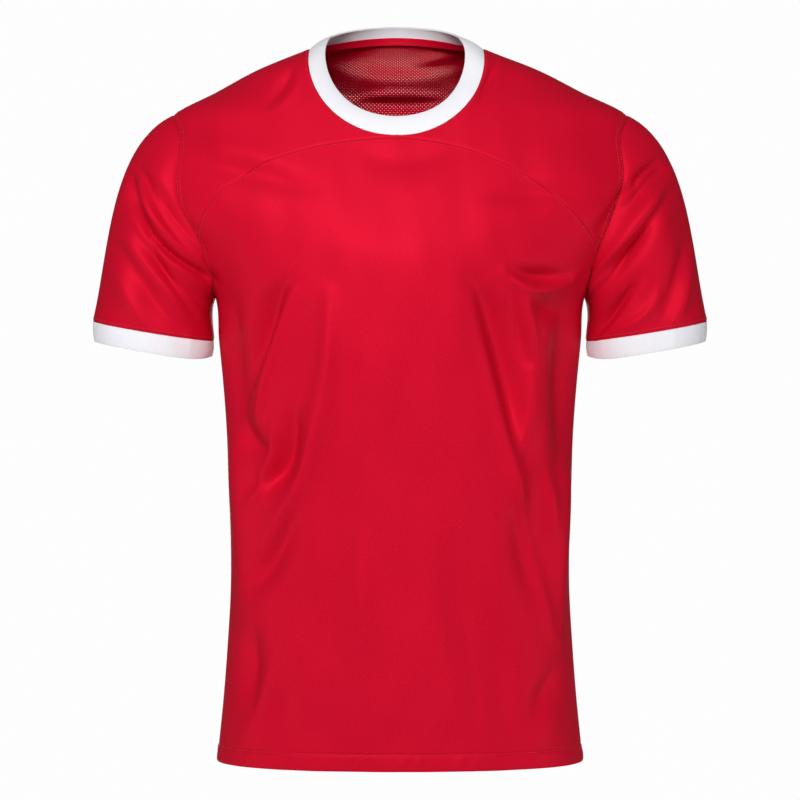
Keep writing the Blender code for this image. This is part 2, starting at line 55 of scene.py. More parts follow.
# Level sections of the body: half of the width, how far the front and the back stand from the middle, and
# how far the middle itself lies behind the origin
FORM_COLUMNS = ("z", "half_width", "front", "back", "middle")
FORM = np.array(
    [
        (-0.7190, 0.1857, 0.118, 0.113, 0.000),
        (-0.6530, 0.1790, 0.117, 0.108, 0.000),
        (-0.6000, 0.1750, 0.116, 0.104, 0.000),
        (-0.5460, 0.1720, 0.115, 0.101, 0.000),
        (-0.4930, 0.1720, 0.116, 0.100, 0.000),
        (-0.4400, 0.1740, 0.118, 0.101, 0.000),
        (-0.3870, 0.1760, 0.121, 0.104, 0.000),
        (-0.3340, 0.1800, 0.125, 0.108, 0.000),
        (-0.2930, 0.1840, 0.128, 0.112, 0.000),
        (-0.2500, 0.1875, 0.129, 0.116, 0.000),
        (-0.2013, 0.2133, 0.125, 0.119, 0.001),
        (-0.1600, 0.2467, 0.118, 0.118, 0.003),
        (-0.1290, 0.2540, 0.109, 0.114, 0.004),
        (-0.0850, 0.2386, 0.093, 0.103, 0.006),
        (-0.0629, 0.2290, 0.085, 0.095, 0.008),
        (-0.0415, 0.1873, 0.077, 0.088, 0.009),
        (-0.0181, 0.1425, 0.068, 0.080, 0.009),
        (0.0037, 0.0881, 0.058, 0.072, 0.009),
        (0.0155, 0.0618, 0.052, 0.067, 0.009),
    ]
)
SECTION_POWER = 0.87

ARMHOLE_BOW = {"front": 0.062, "back": 0.066}
ARCH_TOP_Z = -0.0948
ARCH = {-1: {"start": 0.365, "turn": 1.00}, 1: {"start": 0.325, "turn": 1.55}}

NECK_HALF_WIDTH = 0.0888
NECK_WIDEST_Z = -0.008
NECK_DROP = 0.084
NECK_PAST_WIDEST = math.radians(8)
NECK_MIDDLE_Y = -0.006
NECK_HALF_DEPTH = 0.082
NECK_SIDE_SHIFT = -0.0035
SHIFT_FADE_X = (0.11, 0.22)
SHIFT_FADE_Z = (-0.10, -0.17)
BAND_IN = {"front": 0.010, "right": 0.0212, "left": 0.0252, "back": 0.006}
BAND_UP = {"front": 0.0200, "right": 0.0125, "left": 0.0125, "back": 0.0185}
BAND_CROWN = {"height": 0.0016, "fullness": 0.7}
BAND_SEEN_FROM = 0.02
TAPE_ABOVE_SEAM = 0.0003
TAPE_HEIGHT = 0.0083

CUFF_OUTER = np.array((0.3130, 0.004, -0.2735))
CUFF_INNER = np.array((0.1890, 0.000, -0.2940))
CUFF_HALF_DEPTH = 0.0525
CUFF_FRONT_DROP = 0.003
CUFF_HEIGHT = 0.0205
CUFF_GRIP = 0.97
CUFF_INNER_RISE = {"height": 0.005, "sharpness": 6}
CUFF_CROWN = {"height": 0.0009, "fullness": 0.6}
CUFF_SMOOTHS = 0.65
SLEEVE_LEAVES = {"out": 0.30, "out_at_top": 0.62, "forward": 0.22, "down": 0.75, "level_at_top": 0.34}
SLEEVE_ARRIVES = {"out_at_top": 0.25, "forward": 0.02}
SLEEVE_LEAVES_HOLD = 0.97
SLEEVE_ARRIVES_HOLD = 0.91
UNDERARM_EASE = 0.0010
UNDERARM_EASE_HEIGHT = 0.012
UNDERARM_SPREAD = 0.8

# ---------------------------------------------------------------- the cloth

KNIT = 0.0010
HEM_DOUBLE = 0.0021
RIB = 0.0019
TAPE = 0.0009
TAPE_GAP = 0.0015
SEAM_GAP = 0.00030

# A seam sinks the cloth's edges, and the arch's raised bead stands beside it. The neck's seam starts and a
# sleeve's own creases begin at these shares of the way, and the sleeve's top rolls a little over its seam.
SEAM_SINK = 0.0007
SEAM_WIDTH = 0.0016
BEAD_HEIGHT = 0.0011
BEAD_FROM_SEAM = 0.0013
BEAD_WIDTH = 0.0009
NECK_SEAM_STARTS = 0.02
SLEEVE_ROLL = {"height": 0.0007, "start": 0.004, "reach": 0.014}
SLEEVE_OWN_CREASES = 0.10

# The turned hem: its fullness, the groove of its stitches, and the small slanting drags across it, in waves
# for each metre
HEM_FULL = {"height": 0.0008, "top": 0.002, "edge": 0.0012}
HEM_GROOVE = {"depth": 0.0007, "width": 0.0011}
HEM_DRAG = {"height": 0.00045, "across": 62, "up": 46, "swell": 57, "start": 0.8}
HEM_DRAG_BAND = {"middle": 0.010, "reach": 0.008}

# How far rows of stitches lie from their seams, near and far beside each armhole, and the stitch itself
STITCHES_FROM = {"arch": 0.0024, "near": 0.0018, "far": 0.0062, "cuff": 0.0036, "neck": 0.0022}
STITCH_LENGTH = 0.0023
STITCH_PITCH = 0.0029
STITCH_LIFT = 0.0001
THREAD_RADIUS = 0.00026

# Softened edges of the walls
EDGE = 0.0003
RIB_EDGE = 0.0007
EDGE_ANGLE = math.radians(60)
MERGE_WITHIN = 0.00002

# Cells of the sheets, and the length of cloth that each count of cells is spread over
BODY_HALF = 88
SIDE_UP = 118
CHEST_UP = 44
YOKE_UP = 44
BRIDGE = 4
BACK_SHOULDER = 56
BACK_NECK = 64
BACK_UP = 84
SLEEVE_DOWN = 76
BAND_ROWS = 12
TAPE_ROWS = 4
CELLS_OVER = {
    "body": 0.245,
    "chest": 0.11,
    "arch": 0.215,
    "yoke": 0.125,
    "shoulder": 0.20,
    "back": 0.30,
    "sleeve": 0.15,
    "band": 0.022,
}

# Rows of fine cells: distances from a seam, heights in the hem, and heights about the hem's stitched line
NEAR_SEAM = (0.0005, 0.0010, 0.0016, 0.0024, 0.0036)
NEAR_SEAM_CLEAR = 1.3 * NEAR_SEAM[-1]
HEM_ROWS = (0.0, 0.0006, 0.0015, 0.004, 0.008, 0.012)
HEM_LINE_ROWS = (-0.0024, -0.0014, -0.0007, 0.0, 0.0007, 0.0014, 0.0024)
HEM_CLEAR = 0.005

# Creases: a path through three points (x, z), the width from side to side, the depth, which is negative
# for a ridge, and how much of it rises as a lip on the left (+) or the right (-) of the path
FOLD_COLUMNS = ("start", "middle", "end", "width", "depth", "lip")
FRONT_FOLDS = [
    # The pull from the wearer's left underarm, with a ridge on each side
    ((0.077, -0.244), (0.105, -0.312), (0.122, -0.410), 0.038, 0.0130, 0.0),
    ((0.070, -0.250), (0.103, -0.382), (0.152, -0.590), 0.018, -0.0047, 0.0),
    ((0.133, -0.325), (0.128, -0.372), (0.120, -0.412), 0.018, -0.0047, 0.0),
    ((0.112, -0.244), (0.119, -0.278), (0.129, -0.318), 0.013, 0.0044, 0.55),
    ((0.112, -0.226), (0.138, -0.232), (0.164, -0.229), 0.017, 0.0065, -0.55),
    ((0.136, -0.252), (0.150, -0.262), (0.168, -0.262), 0.022, 0.0059, 0.0),
    ((0.168, -0.255), (0.169, -0.330), (0.163, -0.418), 0.030, 0.0097, 0.0),
    ((0.169, -0.410), (0.161, -0.480), (0.160, -0.600), 0.018, -0.0044, 0.0),
    ((0.147, -0.422), (0.149, -0.455), (0.152, -0.492), 0.014, -0.0036, 0.0),
    ((0.121, -0.446), (0.127, -0.492), (0.136, -0.548), 0.030, 0.0060, 0.0),
    # The pull from the wearer's right underarm, hooked, and the long ridge inside it
    ((-0.114, -0.240), (-0.138, -0.290), (-0.164, -0.362), 0.026, 0.0101, 0.0),
    ((-0.160, -0.360), (-0.151, -0.394), (-0.130, -0.400), 0.022, 0.0060, 0.0),
    ((-0.106, -0.246), (-0.128, -0.305), (-0.142, -0.376), 0.013, -0.0044, 0.0),
    ((-0.104, -0.366), (-0.114, -0.416), (-0.140, -0.436), 0.027, 0.0094, 0.0),
    ((-0.126, -0.378), (-0.132, -0.420), (-0.150, -0.462), 0.012, -0.0036, 0.0),
    ((-0.070, -0.250), (-0.084, -0.385), (-0.136, -0.505), 0.024, -0.0060, 0.0),
    ((-0.104, -0.458), (-0.124, -0.504), (-0.142, -0.540), 0.028, 0.0065, 0.0),
    ((-0.166, -0.262), (-0.170, -0.315), (-0.168, -0.372), 0.024, 0.0065, 0.0),
    ((-0.168, -0.385), (-0.160, -0.450), (-0.158, -0.560), 0.022, -0.0039, 0.0),
    # Slack down the middle and above the hem
    ((-0.054, -0.372), (-0.060, -0.460), (-0.068, -0.600), 0.034, 0.0029, 0.0),
    ((-0.034, -0.420), (-0.038, -0.520), (-0.046, -0.640), 0.030, -0.0018, 0.0),
    ((0.000, -0.330), (0.012, -0.440), (0.044, -0.560), 0.036, 0.0020, 0.0),
    ((0.044, -0.480), (0.062, -0.556), (0.074, -0.668), 0.036, 0.0040, 0.0),
    ((0.088, -0.560), (0.098, -0.620), (0.104, -0.690), 0.036, 0.0031, 0.0),
    ((-0.145, -0.582), (-0.149, -0.618), (-0.146, -0.660), 0.023, 0.0051, 0.0),
    ((-0.128, -0.612), (-0.140, -0.655), (-0.154, -0.695), 0.024, -0.0024, 0.0),
    ((-0.108, -0.636), (-0.116, -0.668), (-0.126, -0.702), 0.028, 0.0022, 0.0),
    ((-0.082, -0.652), (-0.086, -0.678), (-0.090, -0.704), 0.028, 0.0015, 0.0),
    ((0.152, -0.622), (0.143, -0.648), (0.130, -0.672), 0.020, 0.0029, 0.0),
    ((0.150, -0.652), (0.144, -0.676), (0.136, -0.702), 0.028, -0.0020, 0.0),
    ((0.046, -0.668), (0.050, -0.690), (0.048, -0.712), 0.028, 0.0013, 0.0),
    ((0.000, -0.662), (-0.006, -0.688), (-0.004, -0.712), 0.030, 0.0013, 0.0),
    # The chest, and the drags from the sleeve seams
    ((-0.100, -0.196), (0.010, -0.206), (0.100, -0.190), 0.080, -0.0026, 0.0),
    ((-0.032, -0.110), (0.006, -0.118), (0.050, -0.106), 0.034, 0.0022, 0.0),
    ((-0.198, -0.100), (-0.155, -0.110), (-0.108, -0.122), 0.026, -0.0016, 0.0),
    ((-0.200, -0.116), (-0.150, -0.128), (-0.090, -0.146), 0.030, 0.0034, 0.0),
    ((0.085, -0.153), (0.140, -0.150), (0.200, -0.146), 0.022, 0.0022, 0.0),
    ((0.100, -0.016), (0.092, -0.034), (0.081, -0.054), 0.011, 0.0026, 0.30),
    ((-0.104, -0.020), (-0.114, -0.040), (-0.128, -0.058), 0.014, 0.0030, 0.30),
    # The wearer's right sleeve
    ((-0.272, -0.130), (-0.250, -0.186), (-0.188, -0.232), 0.016, 0.0086, 0.15),
    ((-0.262, -0.122), (-0.238, -0.156), (-0.200, -0.203), 0.015, 0.0046, 0.0),
    ((-0.266, -0.142), (-0.238, -0.188), (-0.196, -0.230), 0.011, -0.0026, 0.0),
    ((-0.270, -0.163), (-0.242, -0.200), (-0.206, -0.226), 0.013, -0.0028, 0.0),
    ((-0.272, -0.180), (-0.244, -0.216), (-0.200, -0.254), 0.017, 0.0043, 0.25),
    ((-0.284, -0.200), (-0.257, -0.240), (-0.220, -0.284), 0.020, 0.0045, 0.30),
    ((-0.286, -0.226), (-0.270, -0.256), (-0.252, -0.286), 0.018, -0.0024, 0.0),
    ((-0.270, -0.140), (-0.252, -0.188), (-0.190, -0.231), 0.008, 0.0029, 0.45),
    ((-0.258, -0.130), (-0.240, -0.168), (-0.205, -0.210), 0.009, 0.0021, 0.40),
    ((-0.256, -0.186), (-0.238, -0.222), (-0.206, -0.268), 0.009, 0.0021, 0.40),
    # The wearer's left sleeve
    ((0.264, -0.110), (0.242, -0.127), (0.220, -0.151), 0.008, 0.0019, 0.40),
    ((0.268, -0.114), (0.244, -0.140), (0.200, -0.182), 0.020, 0.0058, 0.0),
    ((0.265, -0.140), (0.241, -0.177), (0.200, -0.220), 0.015, -0.0034, 0.0),
    ((0.268, -0.147), (0.234, -0.199), (0.194, -0.246), 0.017, 0.0055, -0.25),
    ((0.226, -0.202), (0.206, -0.227), (0.188, -0.248), 0.010, -0.0033, 0.0),
    ((0.240, -0.231), (0.216, -0.262), (0.196, -0.287), 0.018, 0.0043, 0.0),
    ((0.260, -0.240), (0.246, -0.268), (0.214, -0.285), 0.012, -0.0029, 0.0),
    ((0.293, -0.200), (0.287, -0.243), (0.275, -0.280), 0.012, -0.0028, 0.0),
    ((0.286, -0.198), (0.277, -0.238), (0.262, -0.272), 0.016, 0.0033, 0.0),
    ((0.262, -0.116), (0.240, -0.130), (0.210, -0.165), 0.008, 0.0021, 0.40),
    ((0.250, -0.180), (0.222, -0.210), (0.190, -0.240), 0.009, 0.0026, -0.40),
    ((0.235, -0.238), (0.216, -0.262), (0.196, -0.290), 0.009, 0.0021, 0.40),
]
BACK_FOLDS = [
    # Inside the neck
    ((-0.082, -0.002), (-0.004, -0.020), (0.072, -0.008), 0.024, 0.0050, 0.0),
    ((-0.070, -0.026), (-0.004, -0.045), (0.066, -0.034), 0.012, -0.0026, 0.0),
    ((-0.062, -0.046), (-0.005, -0.034), (0.058, -0.040), 0.008, 0.0034, 0.0),
    ((0.018, -0.004), (0.040, 0.001), (0.064, 0.004), 0.011, 0.0024, 0.0),
    ((-0.110, -0.080), (0.000, -0.068), (0.100, -0.086), 0.030, 0.0036, 0.0),
    # The back: drags from the underarms, and slack that falls from the shoulder blades
    ((0.152, -0.205), (0.118, -0.325), (0.128, -0.475), 0.034, 0.0078, 0.0),
    ((0.128, -0.240), (0.094, -0.370), (0.112, -0.540), 0.024, -0.0042, 0.0),
    ((0.168, -0.262), (0.160, -0.340), (0.162, -0.420), 0.022, 0.0052, 0.0),
    ((-0.146, -0.198), (-0.124, -0.305), (-0.140, -0.425), 0.032, 0.0080, 0.0),
    ((-0.118, -0.236), (-0.100, -0.350), (-0.122, -0.500), 0.023, -0.0044, 0.0),
    ((-0.166, -0.268), (-0.164, -0.330), (-0.166, -0.392), 0.020, 0.0046, 0.0),
    ((0.062, -0.355), (0.051, -0.480), (0.070, -0.625), 0.040, 0.0060, 0.0),
    ((-0.050, -0.395), (-0.063, -0.520), (-0.050, -0.664), 0.038, 0.0055, 0.0),
    ((0.004, -0.300), (0.000, -0.430), (0.012, -0.590), 0.036, 0.0030, 0.0),
    ((0.110, -0.580), (0.122, -0.630), (0.126, -0.694), 0.028, 0.0042, 0.0),
    ((-0.104, -0.600), (-0.118, -0.645), (-0.128, -0.700), 0.028, 0.0044, 0.0),
    ((-0.190, -0.120), (-0.140, -0.140), (-0.080, -0.150), 0.022, 0.0040, 0.0),
    ((0.192, -0.128), (0.140, -0.150), (0.086, -0.154), 0.022, 0.0042, 0.0),
    ((0.270, -0.124), (0.243, -0.184), (0.194, -0.230), 0.019, 0.0074, 0.20),
    ((0.268, -0.152), (0.238, -0.200), (0.204, -0.232), 0.013, -0.0030, 0.0),
    ((0.270, -0.184), (0.246, -0.234), (0.216, -0.282), 0.018, 0.0050, 0.0),
    ((-0.268, -0.118), (-0.240, -0.176), (-0.194, -0.222), 0.019, 0.0070, 0.0),
    ((-0.266, -0.148), (-0.236, -0.194), (-0.200, -0.232), 0.012, -0.0032, 0.0),
    ((-0.268, -0.182), (-0.246, -0.232), (-0.218, -0.278), 0.018, 0.0048, 0.20),
]
FOLDS = {"front": FRONT_FOLDS, "back": BACK_FOLDS}
FOLD_POINTS = 24
FOLD_END = 0.08
FOLD_GAIN = 1.8
FOLD_REACH = 1.6
FOLD_END_WIDTH = 0.6
CREASE_RISE = 0.35
CREASE_POWER = 1.7
LIP_FROM_MIDDLE = 1.6
LIP_WIDTH = 0.8
FACING_GAIN = 2.4

# Slack that the cloth has everywhere: wavelength across and up, where it starts, and its height
SLACK_COLUMNS = ("across", "up", "start", "height")
SLACK = [
    (0.083, 0.310, 0.7, 0.00050),
    (0.057, -0.190, 2.1, 0.00032),
    (0.139, 0.120, 4.0, 0.00050),
    (0.036, 0.230, 1.3, 0.00018),
]

# The cut of each sheet: the width and the length of the smallest oblong that it is cut from, its area where
# it is no oblong, and what it hangs from
CUTS = {
    "front_body": (0.520, 0.640, 0.280, ["yoke"]),
    "yoke": (0.470, 0.250, 0.052, ["back"]),
    "back": (0.520, 0.760, 0.340, ["yoke"]),
    "neckband": (0.520, 0.022, None, ["yoke", "back"]),
    "neck_tape": (0.210, 0.010, None, ["neckband"]),
    "sleeve_right": (0.400, 0.225, 0.050, ["yoke"]),
    "cuff_right": (0.345, 0.021, None, ["sleeve_right"]),
    "sleeve_left": (0.400, 0.225, 0.054, ["yoke"]),
    "cuff_left": (0.345, 0.021, None, ["sleeve_left"]),
}

# ---------------------------------------------------------------- laying sheets on the form


def unit(vectors):
    return vectors / np.linalg.norm(vectors, axis=-1, keepdims=True)


def bent(t, start, leave, end, arrive):
    """A smooth curve from start to end, with its directions at both."""
    return (
        (1 + 2 * t) * (1 - t) ** 2 * start
        + t * (1 - t) ** 2 * leave
        + t * t * (3 - 2 * t) * end
        + t * t * (t - 1) * arrive
    )


def smooth_through(values, xs, ys):
    """A smooth curve through the points (xs, ys), read at many values."""
    slopes = np.gradient(ys, xs)
    k = np.clip(np.searchsorted(xs, values) - 1, 0, len(xs) - 2)
    span = xs[k + 1] - xs[k]
    t = np.clip((values - xs[k]) / span, 0.0, 1.0)
    return bent(t, ys[k], span * slopes[k], ys[k + 1], span * slopes[k + 1])


def sizes_at(z):
    return {
        name: smooth_through(z, FORM[:, 0], FORM[:, column])
        for column, name in enumerate(FORM_COLUMNS)
    }


def turned(angle, z, face):
    """Points of the level sections: angle 0 at -X, pi at +X, by way of the front or the back."""
    size = sizes_at(z)
    cosine, sine = np.cos(angle), np.clip(np.sin(angle), 0, None)
    x = -size["half_width"] * np.sign(cosine) * np.abs(cosine) ** SECTION_POWER
    out = size[face] * sine**SECTION_POWER
    y = size["middle"] + (-out if face == "front" else out)
    return np.stack([x, y, z + 0 * x], axis=-1)


PAST_THE_ENDS = 0.004
LEVELS = np.linspace(HEM_Z - PAST_THE_ENDS, BACK_NECK_Z + PAST_THE_ENDS, 300)
TURNS = np.linspace(0, math.pi, 97)
SLOPE_ASIDE = np.array((0.004, 0.0))
SLOPE_ABOVE = np.array((0.0, 0.0015))


def section_tables(face):
    """At each level: the part of the way across at even angles, and the angle at even parts."""
    z, angle = np.meshgrid(LEVELS, TURNS, indexing="ij")
    pieces = np.linalg.norm(np.diff(turned(angle, z, face), axis=1), axis=2)
    lengths = np.concatenate([np.zeros((len(LEVELS), 1)), np.cumsum(pieces, axis=1)], axis=1)
    parts = lengths / lengths[:, -1:]
    even = np.linspace(0, 1, len(TURNS))
    angles = np.array([np.interp(even, row, TURNS) for row in parts])
    return {"parts": parts, "angles": angles}


TABLES = {face: section_tables(face) for face in ("front", "back")}


def read_table(table, z, share):
    """Reads a table of levels and even shares between its entries."""
    row = np.clip((z - LEVELS[0]) / (LEVELS[1] - LEVELS[0]), 0, len(LEVELS) - 1.001)
    column = np.clip(share, 0, 1) * (table.shape[1] - 1)
    i, j = row.astype(int), np.minimum(column.astype(int), table.shape[1] - 2)
    down, right = row - i, column - j
    low = table[i, j] * (1 - right) + table[i, j + 1] * right
    high = table[i + 1, j] * (1 - right) + table[i + 1, j + 1] * right
    return low * (1 - down) + high * down


def on_form(grid, face):
    """The points on the form at (part of the way across, z)."""
    across, z = grid[..., 0], grid[..., 1]
    return turned(read_table(TABLES[face]["angles"], z, across), z, face)


def form_normals(grid, face):
    """Outward directions, from the form's slopes."""
    after, before = grid + SLOPE_ASIDE, grid - SLOPE_ASIDE
    after[..., 0], before[..., 0] = np.minimum(after[..., 0], 1), np.maximum(before[..., 0], 0)
    across = on_form(after, face) - on_form(before, face)
    up = on_form(grid + SLOPE_ABOVE, face) - on_form(grid - SLOPE_ABOVE, face)
    normals = np.cross(across, up) * (1 if face == "front" else -1)
    return unit(normals)


def across_of_angle(angle, z, face):
    return read_table(TABLES[face]["parts"], z, angle / math.pi)


def across_of_x(x, z, face):
    reach = np.minimum(np.abs(x) / sizes_at(z)["half_width"], 1.0)
    angle = np.arccos(reach ** (1 / SECTION_POWER))
    return across_of_angle(np.where(x < 0, angle, math.pi - angle), z, face)


def armhole(up, face):
    """(across, z) of the -X armhole, from the underarm (up 0) to the shoulder point (up 1)."""
    z = UNDERARM_Z + (SHOULDER_Z - UNDERARM_Z) * (1 - np.cos(math.pi * up)) / 2
    bow = ARMHOLE_BOW[face] * np.sin(math.pi * up)
    angle = np.arcsin(np.clip(bow / sizes_at(z)[face], 0, 1) ** (1 / SECTION_POWER))
    return np.stack([across_of_angle(angle, z, face), z], axis=-1)


def arch(along, side):
    """(across, z) of the yoke seam as if on the -X side, from the armhole (0) to the middle (1)."""
    start = armhole(np.array([ARCH[side]["start"]]), "front")
    start_x, start_z = on_form(start, "front")[0, 0], start[0, 1]
    x = start_x * np.cos(along * math.pi / 2)
    z = start_z + (ARCH_TOP_Z - start_z) * np.sin(along * math.pi / 2) ** ARCH[side]["turn"]
    across = np.where(along >= 1, 0.5, across_of_x(x, z, "front"))
    return np.stack([across, z], axis=-1)


def shoulder(along):
    """(across, z) of the -X shoulder seam, from the shoulder point (0) to the neck (1)."""
    return np.stack([0 * along, SHOULDER_Z + (NECK_POINT_Z - SHOULDER_Z) * along], axis=-1)


def front_neck(along):
    """(across, z) of the front neck seam, from the middle (0) to the -X shoulder seam (1)."""
    angle = math.pi / 2 - along * (math.pi / 2 + NECK_PAST_WIDEST)
    x = -NECK_HALF_WIDTH * np.cos(angle)
    z = NECK_WIDEST_Z - NECK_DROP * np.sin(angle)
    across = np.where(along <= 0, 0.5, across_of_x(x, z, "front"))
    across = np.where(along >= 1, 0.0, across)
    return np.stack([across, np.where(along >= 1, NECK_POINT_Z, z)], axis=-1)


def back_neck(along):
    """(across, z) of the back neck seam, from the -X shoulder seam (0) to the +X one (1)."""
    rise = np.sin(math.pi * along)
    return np.stack([along, NECK_POINT_Z + (BACK_NECK_Z - NECK_POINT_Z) * rise], axis=-1)


def coons(bottom, top, left, right, us, vs):
    """A grid of (across, z) between four edges: rows run from left to right, bottom row first."""
    us, vs = us[None, :, None], vs[:, None, None]
    bottom, top, left, right = bottom[None], top[None], left[:, None], right[:, None]
    corners = (
        (1 - us) * (1 - vs) * bottom[:, :1]
        + us * (1 - vs) * bottom[:, -1:]
        + (1 - us) * vs * top[:, :1]
        + us * vs * top[:, -1:]
    )
    return (1 - vs) * bottom + vs * top + (1 - us) * left + us * right - corners


def mirrored(edge):
    """The same edge on the +X side."""
    return edge * (-1, 1) + (1, 0)


def steps(count, length, low=False, high=False):
    """Even steps from 0 to 1, with finer ones next to a seam at the low or the high end."""
    even = np.linspace(0, 1, count + 1)
    near, clear = np.array(NEAR_SEAM) / length, NEAR_SEAM_CLEAR / length
    inner = ((even > clear) | (not low)) & ((even < 1 - clear) | (not high))
    kept = even[inner | (even == 0) | (even == 1)]
    fine = [near] * low + [1 - near] * high
    return np.unique(np.concatenate([kept, *fine]))


# ---------------------------------------------------------------- creases and seams


def fold_path(fold):
    ts = np.linspace(0, 1, FOLD_POINTS + 1)[:, None]
    start, middle, end = (np.array(fold[name]) for name in ("start", "middle", "end"))
    pull = 2 * middle - (start + end) / 2
    return (1 - ts) ** 2 * start + 2 * ts * (1 - ts) * pull + ts**2 * end


def along_path(places, path):
    """For each (x, z): the distance to the path, on which side it lies, and how far along."""
    starts, runs = path[:-1], np.diff(path, axis=0)
    offsets = places[:, None] - starts
    ts = np.clip((offsets * runs).sum(2) / (runs**2).sum(1), 0, 1)
    gaps = offsets - ts[..., None] * runs
    distances = np.hypot(gaps[..., 0], gaps[..., 1])
    nearest = distances.argmin(1)
    pick = np.arange(len(places)), nearest
    gap, run = gaps[pick], runs[nearest]
    side = np.sign(run[:, 0] * gap[:, 1] - run[:, 1] * gap[:, 0])
    return distances[pick], side, (nearest + ts[pick]) / len(runs)


def eased(share):
    share = np.clip(share, 0, 1)
    return share * share * (3 - 2 * share)


def one_fold(fold, distance, side, along):
    """The depth of one fold at points beside its path."""
    fade = np.sin(math.pi * (FOLD_END + (1 - 2 * FOLD_END) * along))
    width = fold["width"] / 2 * (FOLD_END_WIDTH + (1 - FOLD_END_WIDTH) * fade)
    trough = np.exp(-((distance / width) ** CREASE_POWER))
    from_lip = distance * side * np.sign(fold["lip"]) - LIP_FROM_MIDDLE * width
    lip = np.exp(-((from_lip / (LIP_WIDTH * width)) ** 2))
    return fold["depth"] * fade * (trough - abs(fold["lip"]) * lip)


def fold_depth(points, normals):
    """How far the creases push each point in."""
    places = points[..., ::2].reshape(-1, 2)
    facing = normals[..., 1].reshape(-1)
    total = np.zeros(len(places))
    for face, rows in FOLDS.items():
        share = eased((-facing if face == "front" else facing) * FACING_GAIN)
        for row in rows:
            fold = dict(zip(FOLD_COLUMNS, row))
            path, reach = fold_path(fold), FOLD_REACH * fold["width"]
            low, high = path.min(0) - reach, path.max(0) + reach
            near = (share > 0) & (places > low).all(1) & (places < high).all(1)
            if near.any():
                total[near] += share[near] * FOLD_GAIN * one_fold(fold, *along_path(places[near], path))
    for row in SLACK:
        wave = dict(zip(SLACK_COLUMNS, row))
        phase = places[:, 0] / wave["across"] + places[:, 1] / wave["up"]
        total += eased(np.abs(facing)) * wave["height"] * np.sin(2 * math.pi * phase + wave["start"])
    return total.reshape(points.shape[:-1])


def levelled(normals):
    """The way in which creases move cloth: outward, but mostly level, so that seams keep their height."""
    return unit(normals * (1, 1, CREASE_RISE))


def lengths_along(points, axis, from_end=False):
    """The length of cloth between each point and the grid's edge, along its rows or columns."""
    pieces = np.linalg.norm(np.diff(points, axis=axis), axis=-1)
    if from_end:
        pieces = np.flip(pieces, axis)
    start = np.zeros_like(np.take(pieces, [0], axis=axis))
    lengths = np.concatenate([start, np.cumsum(pieces, axis=axis)], axis=axis)
    return np.flip(lengths, axis) if from_end else lengths


EDGES = {"bottom": (0, False), "top": (0, True), "left": (1, False), "right": (1, True)}


def at_length(values, lengths, distance):
    """For each column, its value at a distance along it."""
    columns = zip(lengths.T, values.transpose(1, 2, 0))
    return np.array([[np.interp(distance, along, part) for part in column] for along, column in columns])


def seam_depth(points, seams):
    """How far the seams along the named edges pull the cloth in. A bead stands out beside its seam."""
    total = np.zeros(points.shape[:2])
    for edge, kind in seams.items():
        distance = lengths_along(points, *EDGES[edge])
        total = np.maximum(total, SEAM_SINK * np.exp(-((distance / SEAM_WIDTH) ** 2)))
        if kind == "bead":
            total -= BEAD_HEIGHT * np.exp(-(((distance - BEAD_FROM_SEAM) / BEAD_WIDTH) ** 2))
    return total


def shifted(points):
    """The neck sits a little to one side."""
    points = points.copy()
    fade_out = 1 - np.interp(np.abs(points[..., 0]), SHIFT_FADE_X, (0, 1))
    fade_down = np.interp(points[..., 2], SHIFT_FADE_Z[::-1], (0, 1))
    points[..., 0] += NECK_SIDE_SHIFT * fade_out * fade_down
    return points


class Sheet:
    """A grid of cloth: where it would lie smooth, its outward directions, and where it does lie."""

    def __init__(self, smooth, normals, creased):
        self.smooth, self.normals, self.creased = smooth, normals, creased

    @classmethod
    def on_body(cls, grid, face, seams):
        smooth, normals = on_form(grid, face), form_normals(grid, face)
        creased = smooth - levelled(normals) * fold_depth(smooth, normals)[..., None]
        return cls(smooth, normals, creased - normals * seam_depth(smooth, seams)[..., None])

    def line(self, edge, distance, part=slice(None)):
        """A line of points at a distance from an edge, with the outward directions there."""
        axis, from_end = EDGES[edge]
        points, normals = self.creased, self.normals
        if axis == 1:
            points, normals = points.transpose(1, 0, 2), normals.transpose(1, 0, 2)
        if from_end:
            points, normals = points[::-1], normals[::-1]
        lengths = lengths_along(points, 0)[:, part]
        return tuple(at_length(values[:, part], lengths, distance) for values in (points, normals))


def hem_levels():
    """Heights of the body's level rows: the turned hem, its stitched line, then up to the underarm."""
    top = HEM_Z + HEM_HEIGHT
    above = np.linspace(top + HEM_CLEAR, UNDERARM_Z, SIDE_UP)
    return np.concatenate([HEM_Z + np.array(HEM_ROWS), top + np.array(HEM_LINE_ROWS), above])


def hem_depth(points):
    """The turned hem is fuller than the cloth above it, with a groove along its stitches."""
    x, height = points[..., 0], points[..., 2] - HEM_Z
    full = eased((HEM_HEIGHT - height) / HEM_FULL["top"]) - np.exp(-((height / HEM_FULL["edge"]) ** 2))
    groove = np.exp(-(((height - HEM_HEIGHT) / HEM_GROOVE["width"]) ** 2))
    slant = np.sin(2 * math.pi * (x * HEM_DRAG["across"] - height * HEM_DRAG["up"]))
    swell = np.sin(x * HEM_DRAG["swell"] + HEM_DRAG["start"])
    band = np.exp(-(((height - HEM_DRAG_BAND["middle"]) / HEM_DRAG_BAND["reach"]) ** 2))
    drag = HEM_DRAG["height"] * slant * swell * band
    return HEM_GROOVE["depth"] * groove - HEM_FULL["height"] * full + drag


